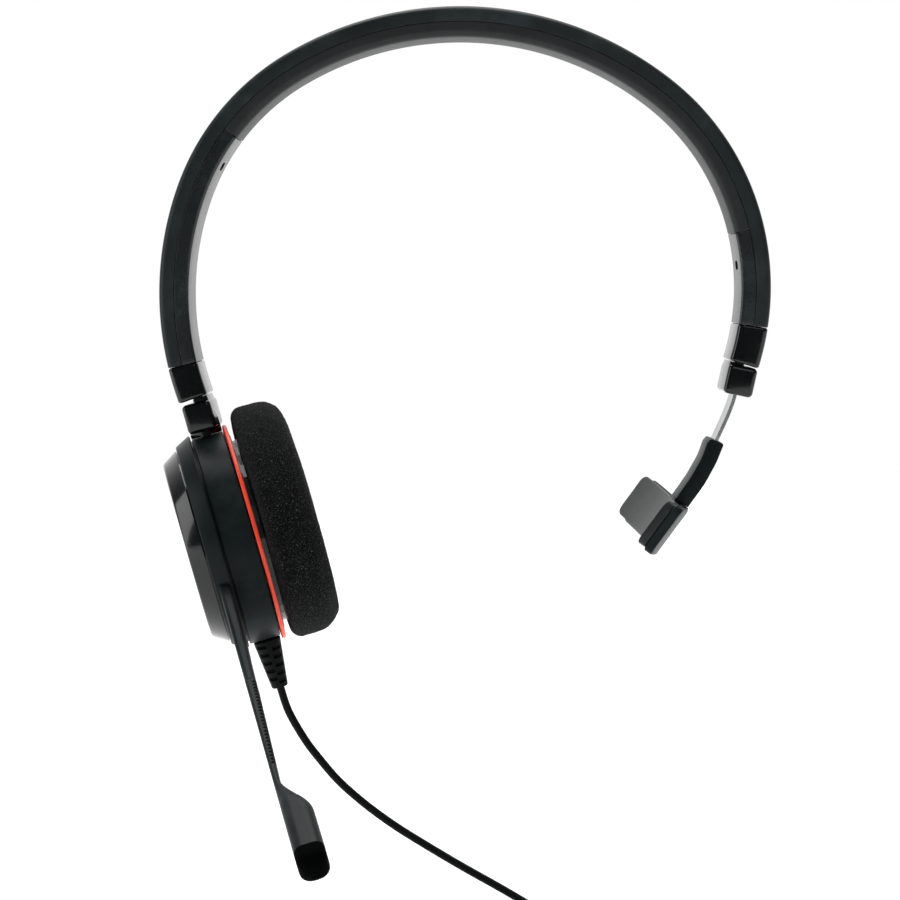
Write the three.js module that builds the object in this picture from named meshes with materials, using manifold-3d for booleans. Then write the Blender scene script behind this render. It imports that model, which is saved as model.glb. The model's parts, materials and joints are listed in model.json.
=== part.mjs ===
// Corded office headset for one ear, in millimetres, +Z up.
// +X runs from the ear cup to the head rest, and -Y is the wearer's front, where the boom points.
// The origin is on the underside of the crown pad, where the headset rests on the head.

import * as THREE from 'three';
import { mergeVertices } from 'three/addons/utils/BufferGeometryUtils.js';
import Module from 'manifold-3d';

const wasm = await Module();
wasm.setup();

// ---- Driving dimensions ----

const GAP = 0.3; // clearance kept between neighbouring pieces
const PAST = 2; // how far a cutting shape runs past what it cuts, in degrees or millimetres

// Headband. A heading is the angle in degrees from the crown, negative on the ear cup's side,
// and a depth is measured inwards from the band's outer face.
const BAND_THICK = 7.5;
const BAND_WIDTH = 15.5;
const BAND_EDGE = 1.8; // rounding along the band's edges
const BAND_STEP = 6; // degrees between the points of a long arc
const SEAM = 3.75; // depth of the line where shell and inner mouldings meet
const CROWN_R = 84.4;
const LOWER_FROM = 65.9; // heading where the shoulder arc becomes the lower arc
const CUP_HALF = { side: -1, crownTo: 26.6, shoulderR: 61.7, lowerR: 78.4 };
const BAR_HALF = { side: 1, crownTo: 42.3, shoulderR: 63.2, lowerR: 66.0 };
const PAD = { from: -48.7, to: 80, edge: 2.2, endGap: 0.3, channelFrom: 65 }; // headings, and its edge
const COVER = { depth: 7.3, edge: 1.4, slotLong: 3.2, slotWide: 4.5 };
const SPRING = { from: -58, to: 62, depth: 2.8, thick: 0.6, width: 9 };

// Channel in the band for the sliders
const CHANNEL = { top: 2.0, bottom: 6.4, width: 11 };
const STRIP = { depth: 4.7, thick: 0.9, width: 8.5 };
const RUNNER = { top: 2.5, bottom: 5.9, width: 10.2, long: 5, lead: 0.5, slotLead: 3 };
const TONGUE = { top: 3.4, bottom: 6.0, width: 10.2, clearance: 0.4 };
const CUP_SLIDE = {
  shellEnd: -99.5, capFrom: -99.9, capTo: -105.3, slot: -57.2, stripTop: -71, stripTo: -108.9, slotTo: -109.2,
};
const BAR_SLIDE = { shellEnd: 103.2, capFrom: 103.6, capTo: 109.7, slot: 87.8, stripTop: 73, stripTo: 106 };

// Glossy blocks below the end caps, and the headings of their necks and tongues
const BLOCK = { wide: 7.3, tall: 6.7, deep: 15, corner: 1.5, edge: 1.2, neckDepth: 7.1, neckWidth: 12.2 };
const CUP_BLOCK = { x: -65.6, z: -88.3, tilt: 11.5, tongueFrom: -101.2, neckFrom: -105.8, tongueTo: -107.8 };
const BAR_BLOCK = { x: 68.7, z: -88.9, tilt: -15.8, tongueFrom: 105.0, neckFrom: 110.3, tongueTo: 112.2 };

// Ear cup. Its own frame has x outwards along the cup's axis, y to the front and z up.
const CUP = { x: -59.5, z: -119.8, tilt: 11.5, yaw: 8.5 };
const CUP_R = 27;
const RIM_SEGMENTS = 36;
const SMALL_SEGMENTS = 16;
const HOUSING = { inner: -3.9, outer: 3.9, wall: 2, recess: 3.2, back: 1.9, flat: 26.5 };
const HUB_R = 7.2;
const HUB_BORE_R = 3.3;
const HUB_END = 8.3;
const OUTER_CAP = {
  r: 24.9, faceR: 22.2, back: 8.7, face: 12.6, wall: 1.3, hubWall: 1.6, hubBack: 2.9, pilot: 9.5,
};
const STEM = { r: 1.0, from: 19, to: 31.4, collarR: 3.2, collarFrom: 26.9, collarTall: 3 };
const CLIP = { r: 1.75, from: 20.8, to: 21.6 };
const BAFFLE = {
  r: 25.3, back: -4.2, front: -5.5, holeR: 1.6, holeRings: [[6, 0], [11.5, 30]], holesPerRing: 6,
};
const BOARD = { thick: 0.9, wide: 12, tall: 16, y: 15, x: 1.05 };
const FOAM = { r: 30, holeR: 11, back: -6.8, front: -19.6 };

// Boom, along y of its own frame, which turns about the cup's axis
const BOOM_DROP = 31; // degrees below the horizontal at rest
const BOOM_OUTER = 7.6; // x of its straight outer face
const BOOM_ROOT_END = 58.5;
const BOOM_NECK = { from: 58.8, to: 91.7, ridgesFrom: 61, ridgePitch: 1.1, ridges: 24, ridgeHigh: 0.35 };
const MIC = { from: 92, to: 112.5, tip: 119.8, inner: 0.9, half: 4, boreR: 2.4 };

// Head rest: arm and curved plate. The plate's frame has its origin at the middle of the pad's
// top edge, with x away from the head, z up the plate and y along it.
const ARM = { deep: 10, edge: 0.7 };
const PLATE = { x: 50.6, z: -117.2, lean: 39.8, half: 31, tall: 12.4, bow: 5, bowSteps: 12, corner: 3 };
const PAD_THICK = 2;
const PLATE_THICK = 2;
const PLATE_RIM = { above: 0.4, below: 0.6 }; // how the plate's edges stand to the pad's
const TAB = { thick: 1.3, wide: 5, x: 2.2, top: 4.4, slotBottom: -0.9 }; // the plate's tab in the arm's foot

// Cord, coil and plug
const CORD_D = 2;
const CORD_SIDES = 8;
const RELIEF = {
  x: -0.4, top: -27.3, bottom: -39.3, topR: 3.05, bottomR: 2.0, neckR: 1.9, flangeR: 3.4, flangeTop: -23.6,
  slots: 5, slotPitch: 2, slotTall: 0.9, stagger: 0.7,
};
const CORD_HOLE_R = 2.2;
const COIL_BASE = -232; // underside of the coil, which lies on a surface with its tie
const COIL = { x: 22, y: -30, innerR: 7, outerR: 17, tall: 8.2 };
const TIE = { wide: 4, thick: 0.5, clearance: 0.6, upClearance: 0.4, heading: 150 };
const PLUG = { y: -58.5, z: COIL_BASE + 4.6, gripFrom: 9.5, gripTo: -12.5, tipX: -24.5 };
const PLUG_GRIP = { wide: 15, tall: 8.4, corner: 2.2, edge: 1 };
const PLUG_SHELL = { wide: 12, tall: 4.5, wall: 0.4, mouthBack: 1.2 };

// ---- Helpers ----

const rad = THREE.MathUtils.degToRad;

function point(x, y) {
  return new THREE.Vector2(x, y);
}

// A closed geometry as a solid for joining and cutting
function solid(geometry) {
  const bare = geometry.clone();
  bare.deleteAttribute('normal');
  bare.deleteAttribute('uv');
  const merged = mergeVertices(bare, 1e-4);
  return new wasm.Manifold(new wasm.Mesh({
    numProp: 3,
    vertProperties: new Float32Array(merged.attributes.position.array),
    triVerts: new Uint32Array(merged.index.array),
  }));
}

function surface(body) {
  const mesh = body.getMesh();
  const geometry = new THREE.BufferGeometry();
  geometry.setAttribute('position', new THREE.BufferAttribute(mesh.vertProperties, 3));
  geometry.setIndex(new THREE.BufferAttribute(mesh.triVerts, 1));
  geometry.computeVertexNormals();
  return geometry;
}

function cut(geometry, ...tools) {
  return surface(tools.reduce((body, tool) => body.subtract(solid(tool)), solid(geometry)));
}

function join(geometry, ...others) {
  return surface(others.reduce((body, other) => body.add(solid(other)), solid(geometry)));
}

function common(geometry, other) {
  return surface(solid(geometry).intersect(solid(other)));
}

// An outline in X and Z, extruded along Y about its middle, with its edges chamfered
function prism(outline, width, edge = 0, edgeSteps = 2) {
  const geometry = new THREE.ExtrudeGeometry(new THREE.Shape(outline), {
    depth: width - 2 * edge,
    bevelEnabled: edge > 0,
    bevelThickness: edge,
    bevelSize: edge,
    bevelOffset: -edge,
    bevelSegments: edgeSteps,
    curveSegments: 4,
  });
  geometry.translate(0, 0, edge - width / 2);
  geometry.rotateX(Math.PI / 2);
  return geometry;
}

// A body of revolution about the x axis from a profile of [radius, x], a solid one or a ring
function turned(profile, segments = RIM_SEGMENTS) {
  const points = profile.map(([r, x]) => point(r, x));
  if (THREE.ShapeUtils.area(points) < 0) {
    points.reverse();
  }
  if (points[0].x > 0) {
    points.push(points[0].clone());
  }
  return new THREE.LatheGeometry(points, segments).rotateZ(-Math.PI / 2);
}

function box(x, y, z, at = [0, 0, 0]) {
  return new THREE.BoxGeometry(x, y, z).translate(...at);
}

function rod(radius, from, to, segments = SMALL_SEGMENTS) {
  return new THREE.CylinderGeometry(radius, radius, to - from, segments).translate(0, (from + to) / 2, 0);
}

// A rounded rectangle's outline, turned by an angle and moved to its centre
function roundedBox(wide, tall, corner, angle, x, z) {
  const w = wide / 2 - corner;
  const h = tall / 2 - corner;
  const shape = new THREE.Shape();
  shape.absarc(w, h, corner, 0, Math.PI / 2);
  shape.absarc(-w, h, corner, Math.PI / 2, Math.PI);
  shape.absarc(-w, -h, corner, Math.PI, 1.5 * Math.PI);
  shape.absarc(w, -h, corner, 1.5 * Math.PI, 2 * Math.PI);
  const turn = rad(angle);
  return shape.getPoints(3).map((p) => p.rotateAround(point(0, 0), turn).add(point(x, z)));
}

// Both sides of a bent strip about its middle line
function ribbon(line, thick) {
  const sides = [[], []];
  line.forEach((p, i) => {
    const along = line[Math.min(i + 1, line.length - 1)].clone().sub(line[Math.max(i - 1, 0)]).normalize();
    const across = point(-along.y, along.x).multiplyScalar(thick / 2);
    sides[0].push(p.clone().add(across));
    sides[1].unshift(p.clone().sub(across));
  });
  return [...sides[0], ...sides[1]];
}

// ---- Headband curve ----

// Arcs of one half of the band's outer face, each joined to the last without a corner
function bandArcs(half) {
  const arcs = [{ r: CROWN_R, from: 0, x: 0, z: BAND_THICK - CROWN_R }];
  for (const [r, from] of [[half.shoulderR, half.crownTo], [half.lowerR, LOWER_FROM]]) {
    const last = arcs.at(-1);
    arcs.push({
      r,
      from,
      x: last.x + (last.r - r) * half.side * Math.sin(rad(from)),
      z: last.z + (last.r - r) * Math.cos(rad(from)),
    });
  }
  return arcs;
}

function bandPoint(heading, depth) {
  const half = heading < 0 ? CUP_HALF : BAR_HALF;
  const angle = Math.abs(heading);
  const arc = bandArcs(half).findLast((a) => angle >= a.from);
  const r = arc.r - depth;
  return point(arc.x + r * half.side * Math.sin(rad(angle)), arc.z + r * Math.cos(rad(angle)));
}

function bandLine(from, to, depth) {
  const steps = Math.max(1, Math.ceil(Math.abs(to - from) / BAND_STEP));
  return Array.from({ length: steps + 1 }, (_, i) => bandPoint(from + ((to - from) * i) / steps, depth));
}

// The stretch of the band's side view between two headings and two depths
function bandShape(from, to, top, bottom) {
  return [...bandLine(from, to, top), ...bandLine(to, from, bottom)];
}

// ---- Scene graph ----

const headset = new THREE.Group();

// Side view of the cup, leaning with the band's end, and the cup turned on its stem in it
const lean = new THREE.Group();
lean.position.set(CUP.x, 0, CUP.z);
lean.rotation.y = rad(-CUP.tilt);
headset.add(lean);
const cup = new THREE.Group();
cup.rotation.z = Math.PI + rad(CUP.yaw);
lean.add(cup);
const boom = new THREE.Group();
boom.rotation.x = rad(-BOOM_DROP);
cup.add(boom);

// Frame of the head-rest plate: x away from the head, z up the plate
const plateFrame = new THREE.Group();
plateFrame.position.set(PLATE.x, 0, PLATE.z);
plateFrame.rotation.y = rad(PLATE.lean);
headset.add(plateFrame);

const finishes = {
  softBlack: { color: 0x25292a, roughness: 0.62, metalness: 0 },
  innerBlack: { color: 0x2b2f30, roughness: 0.5, metalness: 0 },
  gloss: { color: 0x0b0d0e, roughness: 0.14, metalness: 0 },
  satin: { color: 0x17191a, roughness: 0.34, metalness: 0 },
  boomGrey: { color: 0x35383a, roughness: 0.45, metalness: 0 },
  padBlack: { color: 0x1d2021, roughness: 0.8, metalness: 0 },
  padGrey: { color: 0x55585a, roughness: 0.8, metalness: 0 },
  foam: { color: 0x101112, roughness: 0.97, metalness: 0 },
  orange: { color: 0xe8402a, roughness: 0.4, metalness: 0 },
  steel: { color: 0x9a9da0, roughness: 0.3, metalness: 1 },
  darkSteel: { color: 0x222426, roughness: 0.35, metalness: 0.9 },
  rubber: { color: 0x121314, roughness: 0.7, metalness: 0 },
  board: { color: 0x1f5a38, roughness: 0.5, metalness: 0 },
  cloth: { color: 0x1a1b1c, roughness: 0.95, metalness: 0 },
  copper: { color: 0xb0673a, roughness: 0.35, metalness: 1 },
  ferrite: { color: 0x3a3b3d, roughness: 0.55, metalness: 0.4 },
  cone: { color: 0x8e8468, roughness: 0.6, metalness: 0 },
  white: { color: 0xe4e5e3, roughness: 0.5, metalness: 0 },
};

function add(parent, name, geometry, finish) {
  const mesh = new THREE.Mesh(geometry, new THREE.MeshStandardMaterial(finishes[finish]));
  mesh.name = name;
  parent.add(mesh);
}

// ---- Headband ----

function channel(from, to) {
  return prism(bandShape(from, to, CHANNEL.top, CHANNEL.bottom), CHANNEL.width);
}

function shell() {
  const from = CUP_SLIDE.shellEnd;
  const to = BAR_SLIDE.shellEnd;
  const whole = prism(bandShape(from, to, 0, BAND_THICK), BAND_WIDTH, BAND_EDGE);
  const outerHalf = prism(bandShape(from - PAST, to + PAST, -PAST, SEAM), BAND_WIDTH + 2 * PAST);
  return cut(common(whole, outerHalf), channel(from - PAST, to + PAST));
}

// What lies inside the seam between two headings, down to a depth
function innerMoulding(from, to, bottom, edge) {
  const whole = prism(bandShape(from, to, 0, bottom), BAND_WIDTH, edge, 3);
  const innerHalf = prism(
    bandShape(from - PAST, to + PAST, SEAM + GAP, bottom + PAST), BAND_WIDTH + 2 * PAST);
  return common(whole, innerHalf);
}

// An inner cover with its latch slot. The slot goes into the channel.
function innerCover(from, to, slot) {
  const halfSlot = THREE.MathUtils.radToDeg(COVER.slotLong / 2 / CUP_HALF.shoulderR);
  const opening = prism(bandShape(slot - halfSlot, slot + halfSlot, SEAM, BAND_THICK + 1), COVER.slotWide);
  return cut(innerMoulding(from, to, COVER.depth, COVER.edge), channel(from - PAST, to + PAST), opening);
}

// The pad is hollowed where the head rest's slider runs behind it
function pad() {
  return cut(innerMoulding(PAD.from, PAD.to, BAND_THICK, PAD.edge), channel(PAD.channelFrom, PAD.to + PAST));
}

function spring() {
  return prism(bandShape(SPRING.from, SPRING.to, SPRING.depth, SPRING.depth + SPRING.thick), SPRING.width);
}

add(headset, 'headband_shell', shell(), 'softBlack');
add(headset, 'inner_cover_left',
  innerCover(CUP_SLIDE.shellEnd, PAD.from - PAD.endGap, CUP_SLIDE.slot), 'innerBlack');
add(headset, 'inner_cover_right',
  innerCover(PAD.to + PAD.endGap, BAR_SLIDE.shellEnd, BAR_SLIDE.slot), 'innerBlack');
add(headset, 'headband_pad', pad(), 'padBlack');
add(headset, 'band_spring', spring(), 'steel');

// ---- End caps and sliders ----

// Middle line of a slider's strip between two headings
function stripLine(from, to) {
  return bandLine(from, to, STRIP.depth);
}

function endCap(slide) {
  const low = Math.min(slide.capFrom, slide.capTo);
  const high = Math.max(slide.capFrom, slide.capTo);
  const body = prism(bandShape(low, high, 0, BAND_THICK), BAND_WIDTH, BLOCK.edge);
  const spare = TONGUE.clearance;
  const mouth = prism(
    bandShape(low - PAST, high + PAST, TONGUE.top - spare, TONGUE.bottom + spare), TONGUE.width + 2 * spare);
  return cut(body, mouth);
}

function runner(slide, line) {
  const side = Math.sign(slide.stripTop);
  const sweep = THREE.MathUtils.radToDeg(RUNNER.long / CUP_HALF.lowerR) * side;
  const ends = [slide.stripTop - RUNNER.lead * side, slide.stripTop + sweep].sort((a, b) => a - b);
  const body = prism(bandShape(ends[0], ends[1], RUNNER.top, RUNNER.bottom), RUNNER.width);
  return cut(body, stripSlot(line));
}

function stripSlot(line) {
  return prism(ribbon(line, STRIP.thick + 2 * GAP), STRIP.width + 2 * GAP);
}

// A block with the neck that shows below the cap and the tongue that runs in it
function sliderBlock(place, line) {
  const { x, z, tilt, tongueFrom, neckFrom, tongueTo } = place;
  const body = prism(roundedBox(BLOCK.wide, BLOCK.tall, BLOCK.corner, tilt, x, z), BLOCK.deep, BLOCK.edge);
  const span = (a, b) => [a, b].sort((p, q) => p - q);
  const tongue = prism(bandShape(...span(tongueFrom, tongueTo), TONGUE.top, TONGUE.bottom), TONGUE.width);
  const neck = prism(bandShape(...span(neckFrom, tongueTo), TONGUE.top, BLOCK.neckDepth), BLOCK.neckWidth);
  return cut(join(body, tongue, neck), stripSlot(line));
}

const cupStrip = stripLine(CUP_SLIDE.stripTop, CUP_SLIDE.stripTo);
const cupSlotLine = stripLine(CUP_SLIDE.stripTop + RUNNER.slotLead, CUP_SLIDE.slotTo);

// A round piece about the cup's swivel axis, z of the leaning frame
function stemShape(radius, from, to) {
  return rod(radius, from, to).rotateX(Math.PI / 2);
}

// The same piece moved from the leaning frame into the headband's
function besideBand(geometry) {
  return geometry.rotateY(rad(-CUP.tilt)).translate(CUP.x, 0, CUP.z);
}

// The cup's block has a collar round the stem, just above the cup
function cupBlock() {
  const block = sliderBlock(CUP_BLOCK, cupSlotLine);
  const collar = besideBand(stemShape(STEM.collarR, STEM.collarFrom, STEM.collarFrom + STEM.collarTall));
  const bore = besideBand(stemShape(STEM.r + GAP, STEM.from, STEM.to + GAP));
  return cut(join(block, collar), bore);
}

add(headset, 'end_cap_left', endCap(CUP_SLIDE), 'gloss');
add(headset, 'end_cap_right', endCap(BAR_SLIDE), 'gloss');
add(headset, 'cup_slider_strip', prism(ribbon(cupStrip, STRIP.thick), STRIP.width), 'darkSteel');
add(headset, 'cup_slider_runner', runner(CUP_SLIDE, cupSlotLine), 'rubber');
add(headset, 'cup_block', cupBlock(), 'gloss');
add(lean, 'swivel_stem', stemShape(STEM.r, STEM.from, STEM.to), 'steel');

// ---- Head rest ----

// The strip leaves the band's curve below its block and runs straight down into the arm
const belowBlock = point(67.4, -92.8);
const armTop = point(62.0, -103.9);
const barStrip = [
  ...stripLine(BAR_SLIDE.stripTop, BAR_SLIDE.stripTo), belowBlock, armTop, point(60.3, -107.4),
];
const barSlotLine = [
  ...stripLine(BAR_SLIDE.stripTop - RUNNER.slotLead, BAR_SLIDE.stripTo),
  belowBlock, armTop, point(60.1, -107.8),
];

function arm() {
  const outline = [
    [60.9, -103.0], [63.5, -104.2], [63.8, -104.9], [60.0, -111.3], [57.0, -115.1], [53.6, -118.6],
    [51.6, -116.9], [53.1, -114.0], [56.0, -110.4], [59.4, -104.6], [59.9, -103.6],
  ].map(([x, z]) => point(x, z));
  const tabSlot = tab(TAB.slotBottom, GAP).rotateY(rad(PLATE.lean)).translate(PLATE.x, 0, PLATE.z);
  return cut(prism(outline, ARM.deep, ARM.edge, 1), stripSlot(barSlotLine), tabSlot);
}

// The tab that joins the plate to the arm, in the plate's frame, grown by a clearance
function tab(bottom, grow = 0) {
  const top = TAB.top + grow;
  return box(TAB.thick + 2 * grow, TAB.wide + 2 * grow, top - bottom, [TAB.x, 0, (top + bottom) / 2]);
}

// A curved slab between two distances from the pad's face, in the plate's frame
function bowedSlab(near, far, half, top, bottom) {
  const bowR = (PLATE.half ** 2 + PLATE.bow ** 2) / (2 * PLATE.bow);
  const sweep = Math.asin((half + 1) / bowR);
  const arc = (r, from, to) => Array.from({ length: PLATE.bowSteps + 1 }, (_, i) => {
    const a = THREE.MathUtils.lerp(from, to, i / PLATE.bowSteps);
    return point(r * Math.cos(a) - bowR, r * Math.sin(a));
  });
  const outline = new THREE.Shape([...arc(bowR + near, sweep, -sweep), ...arc(bowR + far, -sweep, sweep)]);
  const slab = new THREE.ExtrudeGeometry(outline, { depth: bottom - top + 2 * PAST, bevelEnabled: false });
  slab.translate(0, 0, -bottom - PAST);
  const face = roundedBox(2 * half, bottom - top, PLATE.corner, 0, 0, -(top + bottom) / 2);
  const mask = prism(face, 40).rotateZ(Math.PI / 2);
  return common(slab, mask);
}

// The plate has a foot on its top edge, which carries the tab
function plate() {
  const near = PAD_THICK + GAP;
  const slab = bowedSlab(
    near, near + PLATE_THICK, PLATE.half, PLATE_RIM.above, PLATE.tall + PLATE_RIM.below);
  const foot = box(PLATE_THICK + GAP, 9, 2.5, [near + (PLATE_THICK + GAP) / 2, 0, -0.75]);
  return join(slab, foot, tab(0.2));
}

add(headset, 'bar_slider_strip', prism(ribbon(barStrip, STRIP.thick), STRIP.width), 'darkSteel');
add(headset, 'bar_slider_runner', runner(BAR_SLIDE, barSlotLine), 'rubber');
add(headset, 'bar_block', sliderBlock(BAR_BLOCK, barSlotLine), 'gloss');
add(headset, 'bar_arm', arm(), 'satin');
add(plateFrame, 'bar_plate', plate(), 'satin');
add(plateFrame, 'bar_pad', bowedSlab(0, PAD_THICK, PLATE.half, 0, PLATE.tall), 'padGrey');

// ---- Ear cup ----

function housing() {
  const { inner, outer, wall, recess, back, flat } = HOUSING;
  const body = turned([
    [CUP_R - wall, inner], [CUP_R - 0.3, inner], [CUP_R, inner + 0.3], [CUP_R, outer - 0.4],
    [CUP_R - 0.4, outer], [22, outer], [22, recess], [HUB_R, recess], [HUB_R, HUB_END],
    [HUB_BORE_R, HUB_END], [HUB_BORE_R, back], [CUP_R - wall, back],
  ]);
  const seat = box(12, 20, 4, [0, 0, flat + 2]);
  const stemHole = stemShape(STEM.r + GAP, 20, 30);
  const cordHole = stemShape(CORD_HOLE_R, -30, -20).translate(RELIEF.x, 0, 0);
  return cut(body, seat, stemHole, cordHole);
}

// A dished disc with a hub that fits the housing's, and a pilot hole for the screw in the hub
function outerCap() {
  const { r, faceR, back, face, wall, hubWall, hubBack, pilot } = OUTER_CAP;
  const hubR = HUB_BORE_R - 0.4;
  return turned([
    [0, face], [faceR, face], [faceR + 0.5, face - GAP], [r, back], [r - 1.9, back],
    [faceR - 0.9, face - wall], [hubR, face - wall], [hubR, hubBack], [hubR - hubWall, hubBack],
    [hubR - hubWall, pilot], [0, pilot],
  ]);
}

// The plate in front of the speaker: holes for the sound, and a ridge that the cushion's clip sits on
function baffle() {
  const { r, back, front, holeR, holeRings, holesPerRing } = BAFFLE;
  const disc = turned([
    [0, back], [r, back], [r, front], [23.5, front], [23.5, -6.4], [20.5, -6.4], [20.5, front], [0, front]]);
  const hole = (ringR, angle) => {
    const drill = turned([[0, back + 1], [holeR, back + 1], [holeR, front - 1], [0, front - 1]], 8);
    return drill.translate(0, ringR * Math.cos(rad(angle)), ringR * Math.sin(rad(angle)));
  };
  const holes = [hole(0, 0)];
  for (const [ringR, offset] of holeRings) {
    for (let i = 0; i < holesPerRing; i += 1) {
      holes.push(hole(ringR, (360 / holesPerRing) * i + offset));
    }
  }
  return cut(disc, ...holes);
}

function cushion() {
  const { r, holeR, back, front } = FOAM;
  return turned([
    [holeR, back], [19.8, back], [19.8, back - 1.1], [24.2, back - 1.1], [24.2, back], [27.4, back],
    [29.2, back - 0.8], [r, back - 2.6], [r, front + 5], [29.4, front + 2.9], [27.8, front + 1.2],
    [25.2, front], [holeR + 3, front], [holeR + 0.8, front + 0.8], [holeR, front + 2.8],
  ]);
}

// A board with a chip and the socket for the cord's wires
function board() {
  const sheet = box(BOARD.thick, BOARD.wide, BOARD.tall, [BOARD.x, BOARD.y, 0]);
  const chip = box(1.0, 4, 4, [BOARD.x - 0.85, BOARD.y, 2]);
  const socket = box(1.2, 3, 5, [BOARD.x - 0.95, BOARD.y + 4, -4]);
  return join(sheet, chip, socket);
}

// The screw comes through the housing's floor into the cap's hub
function screw() {
  return turned([[0, 0.5], [4.2, 0.5], [4.2, 1.6], [1, 1.6], [1, 9], [0, 9]], SMALL_SEGMENTS);
}

function speakerFrame() {
  return turned([
    [13.2, -3.9], [16, -3.9], [16, -2.9], [10, -1.3], [7.6, -1.3], [7.6, -1.9], [9.8, -1.9], [13.2, -3.0],
  ], 24);
}

function speakerCone() {
  return turned([
    [0, -3.75], [4, -3.5], [5.5, -3.1], [9, -3.6], [12.9, -3.6], [12.9, -3.4], [9, -3.35], [5.5, -2.85],
    [4, -3.2], [0, -3.45],
  ], 24);
}

// A cup magnet with a recess that the voice coil moves in
function speakerMagnet() {
  return turned(
    [[0, -2.2], [4.8, -2.2], [4.8, -0.9], [7.2, -0.9], [7.2, 0.2], [0, 0.2]], SMALL_SEGMENTS);
}

// A flat washer from one radius to another
function washer(innerR, outerR, front, back, segments) {
  return turned([[innerR, front], [outerR, front], [outerR, back], [innerR, back]], segments);
}

add(cup, 'cup_housing', housing(), 'satin');
add(cup, 'outer_cap', outerCap(), 'gloss');
add(cup, 'hub_screw', screw(), 'steel');
add(cup, 'friction_washer', washer(7.6, 14, 3.5, 4, 24), 'steel');
add(cup, 'trim_ring', washer(25.6, 27.9, -4.2, -5.2, RIM_SEGMENTS), 'orange');
add(cup, 'baffle', baffle(), 'innerBlack');
add(cup, 'acoustic_cloth', turned([[0, -5.8], [19.5, -5.8], [19.5, -6.1], [0, -6.1]], 24), 'cloth');
add(cup, 'cushion_clip', washer(20.1, 23.9, -6.7, -7.5, 24), 'innerBlack');
add(cup, 'ear_cushion', cushion(), 'foam');
add(cup, 'speaker_frame', speakerFrame(), 'darkSteel');
add(cup, 'speaker_cone', speakerCone(), 'cone');
add(cup, 'voice_coil', washer(5.1, 5.7, -2.5, -1.2, SMALL_SEGMENTS), 'copper');
add(cup, 'speaker_magnet', speakerMagnet(), 'ferrite');
add(cup, 'circuit_board', board(), 'board');

// The clip turns with the stem, inside the cup
function clip() {
  return washer(STEM.r + GAP, CLIP.r, CLIP.from, CLIP.to, SMALL_SEGMENTS).rotateY(-Math.PI / 2);
}

add(lean, 'stem_clip', clip(), 'steel');

// ---- Boom ----

// A bar along y: its side view in y and z, and its thickness in y and x
function boomBar(side, thickness) {
  const wide = new THREE.ExtrudeGeometry(new THREE.Shape(side.map(([y, z]) => point(y, z))), {
    depth: 30, bevelEnabled: false });
  wide.translate(0, 0, -15).rotateX(Math.PI / 2).rotateZ(Math.PI / 2);
  const thick = new THREE.ExtrudeGeometry(new THREE.Shape(thickness.map(([y, x]) => point(x, y))), {
    depth: 30, bevelEnabled: false });
  thick.translate(0, 0, -15);
  return common(wide, thick);
}

function boomRing() {
  const boreR = HUB_R + GAP;
  const ring = turned([[boreR, 4.3], [27.8, 4.3], [25.7, 8.4], [23.7, 8.4], [25.2, 5.5], [boreR, 5.5]]);
  const root = boomBar(
    [[18, -7], [26, -6.1], [BOOM_ROOT_END, -3.6], [BOOM_ROOT_END, 3.6], [26, 6.1], [18, 7]],
    [[18, 4.5], [30, 4.5], [BOOM_ROOT_END, 5.1], [BOOM_ROOT_END, BOOM_OUTER], [18, BOOM_OUTER]]);
  return join(ring, root);
}

function boomNeck() {
  const { from, to, ridgesFrom, ridgePitch, ridges, ridgeHigh } = BOOM_NECK;
  const innerFace = (y) => THREE.MathUtils.mapLinear(y, from, to, 5.15, 6.1);
  const face = [[from, innerFace(from)]];
  for (let i = 0; i < ridges; i += 1) {
    const y = ridgesFrom + i * ridgePitch;
    face.push([y, innerFace(y) + ridgeHigh], [y + ridgePitch / 2, innerFace(y + ridgePitch / 2)]);
  }
  face.push([to, innerFace(to)]);
  return boomBar(
    [[from, -3.5], [to, -2.6], [to, 2.6], [from, 3.5]],
    [...face, [to, BOOM_OUTER], [from, BOOM_OUTER]]);
}

// Thickness of the microphone end between two places along the boom
const micInner = [[MIC.from, 6.1], [95, 5.5], [98.5, 3.2], [101, 1.6], [104, MIC.inner], [MIC.to, MIC.inner]];

function micHousing() {
  const h = MIC.half;
  const body = boomBar(
    [[MIC.from, -2.6], [99, -h], [MIC.to, -h], [MIC.to, h], [99, h], [MIC.from, 2.6]],
    [...micInner, [MIC.to, BOOM_OUTER], [MIC.from, BOOM_OUTER]]);
  return cut(body, rod(MIC.boreR, 103.5, MIC.to + 1).translate(micMiddle(), 0, 0));
}

function micMiddle() {
  return (MIC.inner + BOOM_OUTER) / 2;
}

function micGrille() {
  const h = MIC.half;
  const y = MIC.to + GAP;
  return boomBar(
    [[y, -h], [117.5, -h], [119.4, -2.6], [MIC.tip, 0], [119.4, 2.6], [117.5, h], [y, h]],
    [[y, MIC.inner], [117.8, MIC.inner], [119.4, 2], [MIC.tip, 4.2], [119.4, 6.5], [117.8, BOOM_OUTER],
      [y, BOOM_OUTER]]);
}

add(boom, 'boom_ring', boomRing(), 'satin');
add(boom, 'boom_neck', boomNeck(), 'boomGrey');
add(boom, 'mic_housing', micHousing(), 'boomGrey');
add(boom, 'mic_capsule', rod(MIC.boreR - GAP, 104, 110.2).translate(micMiddle(), 0, 0), 'steel');
add(boom, 'mic_screen', rod(MIC.boreR - GAP, 110.5, MIC.to).translate(micMiddle(), 0, 0), 'foam');
add(boom, 'mic_grille', micGrille(), 'rubber');

// ---- Strain relief, cord, coil and plug ----

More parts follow.
